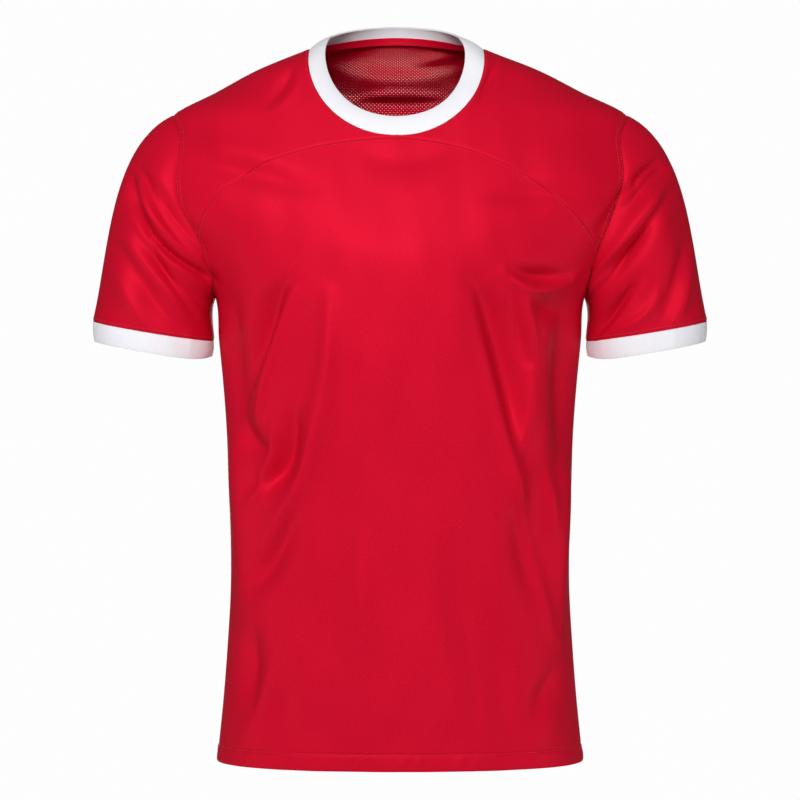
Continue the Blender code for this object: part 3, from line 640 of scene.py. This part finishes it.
def front_body_sheet():
    along = steps(BODY_HALF, CELLS_OVER["body"], low=True)
    side_parts = along / 2
    across = np.concatenate([side_parts, 1 - side_parts[-2::-1]])
    heights = hem_levels()
    level = np.stack(np.meshgrid(across, heights), axis=-1)
    arch_line = np.concatenate([arch(along, -1), mirrored(arch(along, 1))[-2::-1]])
    ups = steps(CHEST_UP, CELLS_OVER["chest"], high=True)
    left = armhole(ups**UNDERARM_SPREAD * ARCH[-1]["start"], "front")
    right = mirrored(armhole(ups**UNDERARM_SPREAD * ARCH[1]["start"], "front"))
    chest = coons(level[-1], arch_line, left, right, across, ups)
    grid = np.concatenate([level[:-1], chest])
    sheet = Sheet.on_body(grid, "front", {"top": "bead", "left": "plain", "right": "plain"})
    sheet.creased -= sheet.normals * hem_depth(sheet.smooth)[..., None]
    return sheet, len(heights) - 1, ups


def yoke_sheet(side):
    """One half of the yoke: rows run from the armhole to the neck, the arch first."""
    start = ARCH[side]["start"]
    along = steps(BODY_HALF, CELLS_OVER["arch"], low=True, high=True)
    ups = steps(YOKE_UP, CELLS_OVER["yoke"], low=True, high=True)
    rise = np.clip((ups - ups[BRIDGE]) / (1 - ups[BRIDGE]), 0, 1)
    bottom, top = arch(along, side), shoulder(along)
    left = armhole(start + (1 - start) * ups, "front")
    bridge = (ups[:BRIDGE] / ups[BRIDGE])[:, None]
    middle = front_neck(np.zeros(1))[0]
    right = np.concatenate([bottom[-1] + (middle - bottom[-1]) * bridge, front_neck(rise[BRIDGE:])])
    grid = coons(bottom, top, left, right, along, ups)
    if side > 0:
        grid = mirrored(grid)
    seams = {"bottom": "plain", "top": "plain", "left": "plain"}
    sheet = Sheet.on_body(grid, "front", seams)
    from_neck = lengths_along(sheet.smooth, 1, True)
    neck = SEAM_SINK * np.exp(-((from_neck / SEAM_WIDTH) ** 2)) * eased(rise / NECK_SEAM_STARTS)[:, None]
    sheet.creased -= sheet.normals * neck[..., None]
    return sheet, ups


def back_sheet():
    near = steps(BACK_SHOULDER, CELLS_OVER["shoulder"], low=True)
    neck_part = np.linspace(0, 1, BACK_NECK + 1)
    shoulder_share = BACK_SHOULDER / (2 * BACK_SHOULDER + BACK_NECK)
    us = np.concatenate(
        [
            near * shoulder_share,
            (shoulder_share + neck_part * (1 - 2 * shoulder_share))[1:-1],
            (1 - near * shoulder_share)[::-1],
        ]
    )
    heights = hem_levels()
    level = np.stack(np.meshgrid(us, heights), axis=-1)
    seam = shoulder(near)
    top = np.concatenate([seam, back_neck(neck_part)[1:-1], mirrored(seam)[::-1]])
    ups = steps(BACK_UP, CELLS_OVER["back"], high=True)
    left = armhole(ups**UNDERARM_SPREAD, "back")
    upper = coons(level[-1], top, left, mirrored(left), us, ups)
    grid = np.concatenate([level[:-1], upper])
    sheet = Sheet.on_body(grid, "back", {"top": "plain", "left": "plain", "right": "plain"})
    sheet.creased -= sheet.normals * hem_depth(sheet.smooth)[..., None]
    return sheet, len(heights) - 1, ups


def armhole_ring(front, yoke, back, side):
    """Smooth and creased points, directions and turns round an armhole, from the underarm up the front."""
    end = 0 if side < 0 else -1
    (front, first, ups), (yoke, yoke_ups), (back, back_first, back_ups) = front, yoke, back
    turns = [
        math.pi / 2 * ups,
        math.pi / 2 * (1 + yoke_ups[1:]),
        2 * math.pi - math.pi * back_ups[::-1][1:],
    ]
    rings = [
        np.concatenate([a[first:, end], b[1:, 0], c[back_first:, end][::-1][1:]])
        for a, b, c in (
            (front.smooth, yoke.smooth, back.smooth),
            (front.creased, yoke.creased, back.creased),
            (front.normals, yoke.normals, back.normals),
        )
    ]
    return (*rings, np.concatenate(turns))


def grid_normals(points, closed, inner):
    """Outward directions of a grid, away from the points that inner gives."""
    if closed:
        wrapped = np.concatenate([points[:, -3:-1], points, points[:, 1:3]], axis=1)
        across = np.gradient(wrapped, axis=1)[:, 2:-2]
    else:
        across = np.gradient(points, axis=1)
    normals = unit(np.cross(across, np.gradient(points, axis=0)))
    return normals if ((points - inner) * normals).sum() > 0 else -normals


def sleeve_sheet(ring, side):
    """Rows from the armhole to the cuff seam. The first and the last column are the same line."""
    start, start_creased, _, turns = ring
    middle, half = (CUFF_OUTER + CUFF_INNER) / 2, (CUFF_INNER - CUFF_OUTER) / 2
    ends = middle + half * np.cos(turns)[:, None]
    ends -= np.stack([0 * turns, CUFF_HALF_DEPTH * np.sin(turns), CUFF_FRONT_DROP * np.sin(turns)], axis=1)
    ends[:, 0] *= side
    ease = UNDERARM_EASE * np.clip(1 - (start[:, 2] - UNDERARM_Z) / UNDERARM_EASE_HEIGHT, 0, 1) ** 0.5
    start = start + ease[:, None] * (side, 0, 0)
    reach = np.linalg.norm(ends - start, axis=1, keepdims=True)
    height, forward = (1 - np.cos(turns)) / 2, -np.sin(turns)
    leave = np.stack(
        [
            side * (SLEEVE_LEAVES["out"] + SLEEVE_LEAVES["out_at_top"] * height**0.5),
            SLEEVE_LEAVES["forward"] * forward,
            SLEEVE_LEAVES["level_at_top"] * height - SLEEVE_LEAVES["down"],
        ],
        axis=1,
    )
    out, ahead = side * SLEEVE_ARRIVES["out_at_top"] * height, SLEEVE_ARRIVES["forward"] * forward
    arrive = np.stack([out, ahead, -1 + 0 * height], axis=1)
    leave, arrive = unit(leave) * reach * SLEEVE_LEAVES_HOLD, unit(arrive) * reach * SLEEVE_ARRIVES_HOLD
    downs = steps(SLEEVE_DOWN, CELLS_OVER["sleeve"], low=True, high=True)
    t = downs[:, None, None]
    smooth = bent(t, start, leave, ends, arrive)
    inner = smooth.mean(axis=1, keepdims=True)
    normals = grid_normals(smooth, True, inner)
    own = eased(t / SLEEVE_OWN_CREASES)
    from_seam = lengths_along(smooth, 0)
    roll = eased(from_seam / SLEEVE_ROLL["start"]) * np.exp(-((from_seam / SLEEVE_ROLL["reach"]) ** 2))
    depth = seam_depth(smooth, {"top": "plain"}) - SLEEVE_ROLL["height"] * roll
    creases = levelled(normals) * (fold_depth(smooth, normals) * own[..., 0])[..., None]
    creased = smooth + (start_creased - ring[0]) * (1 - own) - creases - normals * depth[..., None]
    return Sheet(smooth, normals, creased)


def cuff_sheet(sleeve, side):
    ring, creased_ring = sleeve.smooth[-1], sleeve.creased[-1]
    middle = ring.mean(axis=0)
    half_width = np.abs(ring[:, 0] - middle[0]).max()
    inside = np.clip(side * (middle[0] - ring[:, 0]) / half_width, 0, 1) ** CUFF_INNER_RISE["sharpness"]
    t = steps(BAND_ROWS, CUFF_HEIGHT, low=True)[:, None]
    rows = np.repeat(ring[None], len(t), axis=0)
    grip = 1 + (CUFF_GRIP - 1) * t[..., None]
    rows[..., :2] = middle[:2] + (ring[:, :2] - middle[:2]) * grip
    rows[..., 2] -= (CUFF_HEIGHT - CUFF_INNER_RISE["height"] * inside) * t
    normals = grid_normals(rows, True, rows.mean(axis=1, keepdims=True))
    crown = CUFF_CROWN["height"] * np.sin(math.pi * t) ** CUFF_CROWN["fullness"]
    creases = (creased_ring - ring) * (1 - CUFF_SMOOTHS * t[..., None])
    creased = rows + creases + normals * crown[..., None]
    return Sheet(rows, normals, creased)


def neck_ring(yokes, back):
    """Smooth and creased points round the neck seam: -X shoulder, front, +X shoulder, back, and closed."""
    rings = []
    for kind in ("smooth", "creased"):
        left = getattr(yokes[-1][0], kind)[BRIDGE:, -1][::-1]
        right = getattr(yokes[1][0], kind)[BRIDGE:, -1]
        top = getattr(back[0], kind)[-1]
        first = (len(top) - (BACK_NECK + 1)) // 2
        behind = top[first : first + BACK_NECK + 1][::-1]
        rings.append(np.concatenate([left, right[1:], behind[1:-1], left[:1]]))
    return rings, len(left) + len(right) - 2


def neckband_sheet(rings):
    ring, creased_ring = rings
    middle = np.array((0.0, NECK_MIDDLE_Y))
    direction = unit((ring[:, :2] - middle) / (NECK_HALF_WIDTH, NECK_HALF_DEPTH))
    towards = {"front": (0, -1), "right": (-1, 0), "left": (1, 0), "back": (0, 1)}
    shares = {name: np.clip(direction @ way, 0, 1) ** 2 for name, way in towards.items()}
    inward = sum(shares[name] * BAND_IN[name] for name in shares)
    rise = sum(shares[name] * BAND_UP[name] for name in shares)
    edge = ring.copy()
    edge[:, :2] -= direction * inward[:, None]
    edge[:, 2] += rise
    t = steps(BAND_ROWS, CELLS_OVER["band"], low=True)[:, None, None]
    smooth = ring + (edge - ring) * t
    below = smooth.mean(axis=(0, 1)) * (0, 0, 1) - (0, 0, BAND_SEEN_FROM)
    normals = grid_normals(smooth, True, below)
    creased = creased_ring + (edge - creased_ring) * t
    creased += normals * BAND_CROWN["height"] * np.sin(math.pi * t) ** BAND_CROWN["fullness"]
    return Sheet(smooth, normals, creased)


def tape_sheet(neckband, shoulder_index):
    """A strip just inside the back of the neckband."""
    inside = neckband.creased - neckband.normals * (RIB + TAPE_GAP)
    inside, normals = inside[:, shoulder_index:], neckband.normals[:, shoulder_index:]
    lengths = lengths_along(inside, 0)
    heights = TAPE_ABOVE_SEAM + TAPE_HEIGHT * np.linspace(0, 1, TAPE_ROWS + 1)
    rows = np.array([at_length(inside, lengths, height) for height in heights])
    directions = np.array([at_length(normals, lengths, height) for height in heights])
    return Sheet(rows, unit(directions), rows)


# ---------------------------------------------------------------- making pieces

SHEET_SUFFIX = "_cloth"


def only(piece):
    """Selects one piece and nothing else."""
    bpy.ops.object.select_all(action="DESELECT")
    piece.select_set(True)
    bpy.context.view_layer.objects.active = piece


def cloth_map(smooth):
    """Where each point lies on the flat cloth, in metres from its middle line and from its lower edge."""
    across = lengths_along(smooth, 1)
    middle = across[:, across.shape[1] // 2][:, None]
    up = lengths_along(smooth, 0).mean(axis=1)[:, None]
    return np.stack([across - middle, up + 0 * across], axis=-1)


def grid_piece(name, sheet, edges_in=SEAM_GAP / 2, closed=False):
    """A grid primitive, with its points put where the cloth lies and its map in metres."""
    points = shifted(sheet.creased)
    rows, columns = points.shape[:2]
    bpy.ops.object.select_all(action="DESELECT")
    bpy.ops.mesh.primitive_grid_add(x_subdivisions=columns - 1, y_subdivisions=rows - 1, size=1)
    piece = bpy.context.object
    piece.name = piece.data.name = name + SHEET_SUFFIX
    piece.data.vertices.foreach_set("co", inset(points, edges_in, closed).reshape(-1))
    corners = np.empty(len(piece.data.loops), np.int32)
    piece.data.loops.foreach_get("vertex_index", corners)
    flat = cloth_map(sheet.smooth).reshape(-1, 2)[corners]
    piece.data.uv_layers.active.data.foreach_set("uv", flat.reshape(-1))
    piece.data.update()
    facing = np.empty(len(piece.data.vertices) * 3)
    piece.data.vertices.foreach_get("normal", facing)
    if (facing.reshape(-1, 3) * sheet.normals.reshape(-1, 3)).sum() < 0:
        piece.data.flip_normals()
    return piece


def inset(points, amount, closed):
    """Draws the sheet's edges in, so that pieces stay apart at their seams."""
    points = points.copy()
    pairs = [(0, 1), (-1, -2)]
    for edge, beside in pairs:
        points[edge] += unit(points[beside] - points[edge]) * amount
    if not closed:
        for edge, beside in pairs:
            points[:, edge] += unit(points[:, beside] - points[:, edge]) * amount
    return points


def joined(name, pieces):
    only(pieces[0])
    for piece in pieces[1:]:
        piece.select_set(True)
    bpy.ops.object.join()
    pieces[0].name = pieces[0].data.name = name + SHEET_SUFFIX
    return pieces[0]


def merged(piece):
    only(piece)
    bpy.ops.object.mode_set(mode="EDIT")
    bpy.ops.mesh.select_all(action="SELECT")
    bpy.ops.mesh.remove_doubles(threshold=MERGE_WITHIN)
    bpy.ops.object.mode_set(mode="OBJECT")
    return piece


def walled(piece, thickness, edge=EDGE, doubled=0.0):
    """Gives a sheet its wall, on its inner side, and softens the wall's edges."""
    only(piece)
    wall = piece.modifiers.new("wall", "SOLIDIFY")
    wall.thickness, wall.offset = thickness, -1
    if doubled:
        group = piece.vertex_groups.new(name="turned_hem")
        hem = [v.index for v in piece.data.vertices if v.co.z < HEM_Z + HEM_HEIGHT]
        group.add(hem, 1.0, "REPLACE")
        wall.thickness = doubled
        wall.vertex_group = group.name
        wall.thickness_vertex_group = thickness / doubled
    bpy.ops.object.modifier_apply(modifier=wall.name)
    soft = piece.modifiers.new("edge", "BEVEL")
    soft.width, soft.segments = edge, 2
    soft.limit_method, soft.angle_limit = "ANGLE", EDGE_ANGLE
    bpy.ops.object.modifier_apply(modifier=soft.name)
    bpy.ops.object.shade_smooth_by_angle(angle=EDGE_ANGLE)
    return piece


def stitch_shape():
    """One stitch: a short, round-ended bead of thread. Its points and faces."""
    bpy.ops.object.select_all(action="DESELECT")
    bpy.ops.mesh.primitive_uv_sphere_add(segments=6, ring_count=4, radius=1, rotation=(0, math.pi / 2, 0))
    bead = bpy.context.object
    bpy.ops.object.transform_apply(location=False, rotation=True, scale=False)
    half_sizes = (STITCH_LENGTH / 2, THREAD_RADIUS, THREAD_RADIUS)
    points = np.array([v.co for v in bead.data.vertices]) * half_sizes
    faces = [tuple(face.vertices) for face in bead.data.polygons]
    bpy.data.objects.remove(bead)
    return points, faces


def stitches(name, line, finish):
    """A row of stitches along a line of points, each lying on the cloth."""
    places, outward = line
    places = shifted(places)
    pieces = np.linalg.norm(np.diff(places, axis=0), axis=1)
    lengths = np.concatenate([[0], np.cumsum(pieces)])
    count = int(lengths[-1] / STITCH_PITCH)
    middles = (np.arange(count) + 0.5) * lengths[-1] / count
    shape, shape_faces = stitch_shape()

    def read(values, at):
        return np.stack([np.interp(at, lengths, values[:, i]) for i in range(3)], axis=-1)

    half = STITCH_LENGTH / 2
    along = unit(read(places, middles + half) - read(places, middles - half))
    up = read(outward, middles)
    aside = unit(np.cross(up, along))
    up = np.cross(along, aside)
    centres = read(places, middles) + up * STITCH_LIFT
    points = (
        centres[:, None]
        + shape[None, :, :1] * along[:, None]
        + shape[None, :, 1:2] * aside[:, None]
        + shape[None, :, 2:] * up[:, None]
    )
    faces = [tuple(k + i * len(shape) for k in face) for i in range(count) for face in shape_faces]
    mesh = bpy.data.meshes.new(name)
    mesh.from_pydata(points.reshape(-1, 3).tolist(), [], faces)
    mesh.shade_smooth()
    mesh.materials.append(finish)
    piece = bpy.data.objects.new(name, mesh)
    bpy.context.scene.collection.objects.link(piece)
    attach(piece, "root")
    return piece


# ---------------------------------------------------------------- finishes


class Value:
    """A number that varies over a surface. Arithmetic on it adds Math nodes."""

    def __init__(self, finish, socket):
        self.finish, self.socket = finish, socket

    def maths(self, operation, *others):
        values = dict(enumerate((self, *others)))
        return self.finish.node("ShaderNodeMath", {"operation": operation}, values)

    def before(self, operation, other):
        return self.finish.node("ShaderNodeMath", {"operation": operation}, {0: other, 1: self})

    def __add__(self, other):
        return self.maths("ADD", other)

    def __sub__(self, other):
        return self.maths("SUBTRACT", other)

    def __rsub__(self, other):
        return self.before("SUBTRACT", other)

    def __mul__(self, other):
        return self.maths("MULTIPLY", other)

    __radd__, __rmul__ = __add__, __mul__

    def sine(self):
        return self.maths("SINE")

    def past(self, edge, soft):
        """0 below the edge and 1 above it, with a soft change between."""
        settings = {"interpolation_type": "SMOOTHSTEP"}
        values = {"Value": self, "From Min": edge - soft, "From Max": edge + soft}
        return self.finish.node("ShaderNodeMapRange", settings, values)


class Finish:
    """A material under construction."""

    def __init__(self, name, **sockets):
        self.material = bpy.data.materials.new(name)
        self.material.use_nodes = True
        self.tree = self.material.node_tree
        self.shader = self.tree.nodes["Principled BSDF"]
        for socket, value in sockets.items():
            self.shader.inputs[socket.replace("_", " ")].default_value = value

    def node(self, kind, settings=None, values=None, output=0):
        node = self.tree.nodes.new(kind)
        for setting, value in (settings or {}).items():
            setattr(node, setting, value)
        for socket, value in (values or {}).items():
            if isinstance(value, Value):
                self.tree.links.new(value.socket, node.inputs[socket])
            else:
                node.inputs[socket].default_value = value
        return Value(self, node.outputs[output])

    def feed(self, socket, value):
        self.tree.links.new(value.socket, self.shader.inputs[socket])

    def cloth(self):
        """The two directions of the cloth, in metres."""
        place = self.node("ShaderNodeTexCoord", output="UV")
        return [self.node("ShaderNodeSeparateXYZ", values={0: place}, output=i) for i in range(2)]

    def cloudy(self, scale, detail=2.0):
        """Soft, uneven patches over the whole object."""
        place = self.node("ShaderNodeTexCoord", output="Object")
        return self.node("ShaderNodeTexNoise", values={"Vector": place, "Scale": scale, "Detail": detail})

    def blend(self, share, low, high):
        """Two colours mixed by a share."""
        values = {0: share, 6: (*low, 1), 7: (*high, 1)}
        return self.node("ShaderNodeMix", {"data_type": "RGBA"}, values, output=2)

    def bumped(self, height, distance, strength=1.0):
        values = {"Height": height, "Distance": distance, "Strength": strength}
        self.feed("Normal", self.node("ShaderNodeBump", values=values))


def waves(value, pitch):
    return (value * (2 * math.pi / pitch)).sine()


def ridges(wave):
    """A wave raised to run from 0 to 1."""
    return wave * 0.5 + 0.5


# The dark tones stand for painted shade in the pits and grooves of each cloth, round the mesh's holes and
# in the thread's twist, and for tone that varies at random in patches.
RED_LIGHT = (0.64, 0.0044, 0.027)
RED_DARK = (0.54, 0.0026, 0.020)
MESH_LIGHT = (0.62, 0.0040, 0.024)
MESH_DARK = (0.28, 0.0016, 0.009)
WHITE_LIGHT = (0.88, 0.88, 0.92)
WHITE_DARK = (0.80, 0.80, 0.85)
RED_GLOSS = (1.0, 0.25, 0.30, 1)
KNIT_PITCH = 0.0030
MESH_PITCH = 0.0040
RIB_PITCH = 0.0017
LOOP_PITCH = 0.7 * RIB_PITCH
PLY_PITCH = 0.0007


def knit_finish():
    """A light polyester knit with a fine diagonal basket and a satin sheen, its colour painted darker in
    the basket's pits as shade.
    """
    finish = Finish("red_knit_cloth", Metallic=0.17, Specular_IOR_Level=0.14, Specular_Tint=RED_GLOSS)
    across, up = finish.cloth()
    grain_and_pit_shade = ridges(waves(across, KNIT_PITCH) * waves(up, KNIT_PITCH))
    patches = finish.cloudy(9.0)
    # Painted shade: the base colour is darker in the pits of the basket. The cloudy patches are tone that
    # varies at random.
    finish.feed("Base Color", finish.blend(grain_and_pit_shade * 0.35 + patches * 0.65, RED_DARK, RED_LIGHT))
    finish.feed("Roughness", patches * 0.06 + 0.54 - grain_and_pit_shade * 0.03)
    finish.bumped(grain_and_pit_shade, 0.00018, 0.6)
    return finish.material


def mesh_finish():
    """A knitted mesh: round holes in staggered rows, with painted shade round each hole."""
    finish = Finish("red_mesh_cloth", Metallic=0.12, Specular_IOR_Level=0.06, Specular_Tint=RED_GLOSS)
    across, up = finish.cloth()
    bars_and_hole_shade = ridges(waves(across, MESH_PITCH) * waves(up, MESH_PITCH))
    patches = finish.cloudy(12.0)
    hem = up.past(HEM_HEIGHT, 0.0006)
    cloth = 1 - (bars_and_hole_shade + patches * 0.14).past(0.96, 0.02) * hem
    finish.feed("Alpha", cloth)
    # Painted shade: the cloth is coloured darker where it dips round each hole. The cloudy patches are tone
    # that varies at random.
    finish.feed("Base Color", finish.blend((1 - bars_and_hole_shade) * 0.75 + patches * 0.25, MESH_DARK, MESH_LIGHT))
    finish.feed("Roughness", patches * 0.10 + 0.50)
    finish.bumped(1 - bars_and_hole_shade, 0.0005, 0.8)
    return finish.material


def rib_finish():
    """A white flat rib, its wale lines across the band, with painted shade in the grooves between them."""
    finish = Finish("white_rib_cloth", Roughness=0.72, Sheen_Weight=0.25, Sheen_Roughness=0.5)
    across, up = finish.cloth()
    wales_and_groove_shade = ridges(waves(across, RIB_PITCH))
    loops = ridges(waves(up, LOOP_PITCH))
    patches = finish.cloudy(14.0)
    # Painted shade: the colour is darker in the grooves between the wales and the loops. The cloudy patches
    # are tone that varies at random.
    share = wales_and_groove_shade * 0.45 + loops * 0.10 + patches * 0.45
    finish.feed("Base Color", finish.blend(share, WHITE_DARK, WHITE_LIGHT))
    finish.feed("Roughness", patches * 0.08 + 0.68)
    finish.bumped(wales_and_groove_shade * 0.8 + loops * 0.2, 0.0003, 0.7)
    return finish.material


def thread_finish():
    """Red polyester thread, twisted and a little shinier than the cloth, with painted shade in the grooves
    of its twist.
    """
    finish = Finish("red_thread", Roughness=0.42, Sheen_Weight=0.1)
    place = finish.node("ShaderNodeTexCoord", output="Object")
    x, y, z = (finish.node("ShaderNodeSeparateXYZ", values={0: place}, output=i) for i in range(3))
    ply_and_twist_shade = ridges(waves(x + y + z, PLY_PITCH))
    # Painted shade: the thread is coloured darker in the grooves of its twist.
    finish.feed("Base Color", finish.blend(ply_and_twist_shade, RED_DARK, RED_LIGHT))
    finish.bumped(ply_and_twist_shade, 0.00008, 0.6)
    return finish.material


# ---------------------------------------------------------------- the jersey


def dress(piece, material):
    """Gives a piece its finish and makes it stand for its solid."""
    piece.data.materials.clear()
    piece.data.materials.append(material)
    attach(piece, "root")
    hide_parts(piece.name.removesuffix(SHEET_SUFFIX))


SIDES = {-1: "right", 1: "left"}


def armhole_line(front, yoke, back, side, distance):
    """A line beside an armhole, on the body: up the front, then down the back."""
    edge = "left" if side < 0 else "right"
    (front, first, _), (yoke, _), (back, back_first, _) = front, yoke, back
    runs = [
        front.line(edge, distance, slice(first + 1, -2)),
        yoke.line("left", distance, slice(2, -1)),
        back.line(edge, distance, slice(back_first + 1, None)),
    ]
    runs[2] = tuple(values[::-1] for values in runs[2])
    return tuple(np.concatenate([run[i] for run in runs]) for i in range(2))


def build_jersey():
    knit, mesh, rib, thread = knit_finish(), mesh_finish(), rib_finish(), thread_finish()
    front, back = front_body_sheet(), back_sheet()
    yokes = {side: yoke_sheet(side) for side in (-1, 1)}

    pieces = {
        "front_body": walled(grid_piece("front_body", front[0]), KNIT, doubled=HEM_DOUBLE),
        "back": walled(grid_piece("back", back[0]), KNIT, doubled=HEM_DOUBLE),
    }
    halves = [grid_piece(f"yoke_{side}", yokes[side][0], edges_in=0.0) for side in yokes]
    pieces["yoke"] = walled(merged(joined("yoke", halves)), KNIT)
    rows = {
        "arch": ("front_body", front[0].line("top", STITCHES_FROM["arch"])),
        "hem_front": ("front_body", front[0].line("bottom", HEM_HEIGHT)),
        "hem_back": ("back", back[0].line("bottom", HEM_HEIGHT)),
    }
    for side, end in SIDES.items():
        sleeve = sleeve_sheet(armhole_ring(front, yokes[side], back, side), side)
        cuff = cuff_sheet(sleeve, side)
        pieces[f"sleeve_{end}"] = walled(merged(grid_piece(f"sleeve_{end}", sleeve, closed=True)), KNIT)
        pieces[f"cuff_{end}"] = walled(merged(grid_piece(f"cuff_{end}", cuff, closed=True)), RIB, RIB_EDGE)
        for row in ("near", "far"):
            line = armhole_line(front, yokes[side], back, side, STITCHES_FROM[row])
            rows[f"armhole_{end}_{row}"] = ("yoke", line)
        rows[f"cuff_{end}"] = (f"sleeve_{end}", sleeve.line("top", STITCHES_FROM["cuff"]))

    rings, shoulder_index = neck_ring(yokes, back)
    band = neckband_sheet(rings)
    tape = tape_sheet(band, shoulder_index)
    pieces["neckband"] = walled(merged(grid_piece("neckband", band, closed=True)), RIB, RIB_EDGE)
    pieces["neck_tape"] = walled(grid_piece("neck_tape", tape), TAPE)
    for side, end in SIDES.items():
        line = yokes[side][0].line("right", STITCHES_FROM["neck"], slice(BRIDGE + 2, None))
        rows[f"neck_{end}"] = ("yoke", line)

    sewn = {node: [] for node in CUTS}
    for name, (node, line) in rows.items():
        sewn[node].append(stitches(f"stitches_{name}", line, thread))
    finishes = {"back": mesh, "neckband": rib, "cuff_right": rib, "cuff_left": rib}
    for node, piece in pieces.items():
        dress(piece, finishes.get(node, knit))


# ---------------------------------------------------------------- the studio

CAMERA_DISTANCE = 3.2
CAMERA_Z = -0.354
CAMERA_LENS = 141.5
FLOOR_Z = -1.45
FLOOR_RADIUS = 5.0
WALL_WHITE = 0.985
WORLD_LIGHT = 0.13

# Each light: its name, where it is, where it points, its size and its power
LIGHTS = [
    ("key", (-0.35, -2.00, 0.76), (0.0, 0.0, -0.08), (1.3, 0.5), 43.5),
    ("fill", (0.80, -2.60, 0.00), (0.0, 0.0, -0.20), (0.7, 0.6), 5),
    ("top", (0.0, -0.7, 2.0), (0.0, 0.0, -0.20), (1.4, 1.0), 1),
    ("side_right", (-1.9, -0.75, -0.95), (-0.15, 0.0, -0.55), (0.6, 0.8), 7),
    ("side_left", (1.9, -0.75, -0.95), (0.15, 0.0, -0.55), (0.6, 0.8), 8),
    ("behind", (0.0, 3.0, -0.05), (0.0, 0.0, -0.35), (1.6, 1.2), 40),
]


def area_light(name, place, target, size, power):
    data = bpy.data.lights.new(name, "AREA")
    data.shape, data.size, data.size_y = "RECTANGLE", *size
    data.energy = power
    lamp = bpy.data.objects.new(name, data)
    bpy.context.scene.collection.objects.link(lamp)
    lamp.location = place
    direction = np.array(target) - np.array(place)
    flat = math.hypot(direction[0], direction[1])
    raised = math.pi / 2 + math.atan2(direction[2], flat)
    lamp.rotation_euler = (raised, 0, math.atan2(direction[1], direction[0]) - math.pi / 2)


def build_world():
    """Near white behind the jersey, and a softer light on it."""
    world = bpy.data.worlds.new("studio")
    bpy.context.scene.world = world
    world.use_nodes = True
    tree = world.node_tree
    seen = tree.nodes["Background"]
    seen.inputs["Color"].default_value = (WALL_WHITE, WALL_WHITE, WALL_WHITE, 1)
    lit = tree.nodes.new("ShaderNodeBackground")
    lit.inputs["Color"].default_value = (1.0, 1.0, 1.0, 1)
    lit.inputs["Strength"].default_value = WORLD_LIGHT
    path = tree.nodes.new("ShaderNodeLightPath")
    mix = tree.nodes.new("ShaderNodeMixShader")
    tree.links.new(path.outputs["Is Camera Ray"], mix.inputs[0])
    tree.links.new(lit.outputs[0], mix.inputs[1])
    tree.links.new(seen.outputs[0], mix.inputs[2])
    tree.links.new(mix.outputs[0], tree.nodes["World Output"].inputs[0])


def build_studio():
    build_world()
    for name, place, target, size, power in LIGHTS:
        area_light(name, place, target, size, power)
    bpy.ops.object.select_all(action="DESELECT")
    place = (0, 0, FLOOR_Z)
    bpy.ops.mesh.primitive_circle_add(vertices=96, radius=FLOOR_RADIUS, fill_type="NGON", location=place)
    floor = bpy.context.object
    floor.name = "floor"
    pale = Finish("pale_floor", Roughness=0.8, Base_Color=(0.86, 0.86, 0.87, 1))
    floor.data.materials.append(pale.material)

    camera = bpy.data.objects.new("camera", bpy.data.cameras.new("camera"))
    bpy.context.scene.collection.objects.link(camera)
    camera.location = (0, -CAMERA_DISTANCE, CAMERA_Z)
    camera.rotation_euler = (math.pi / 2, 0, 0)
    camera.data.lens, camera.data.sensor_width = CAMERA_LENS, 36
    camera.data.clip_end = 50
    bpy.context.scene.camera = camera
    bpy.context.scene.view_settings.view_transform = "Standard"


build_jersey()
build_studio()
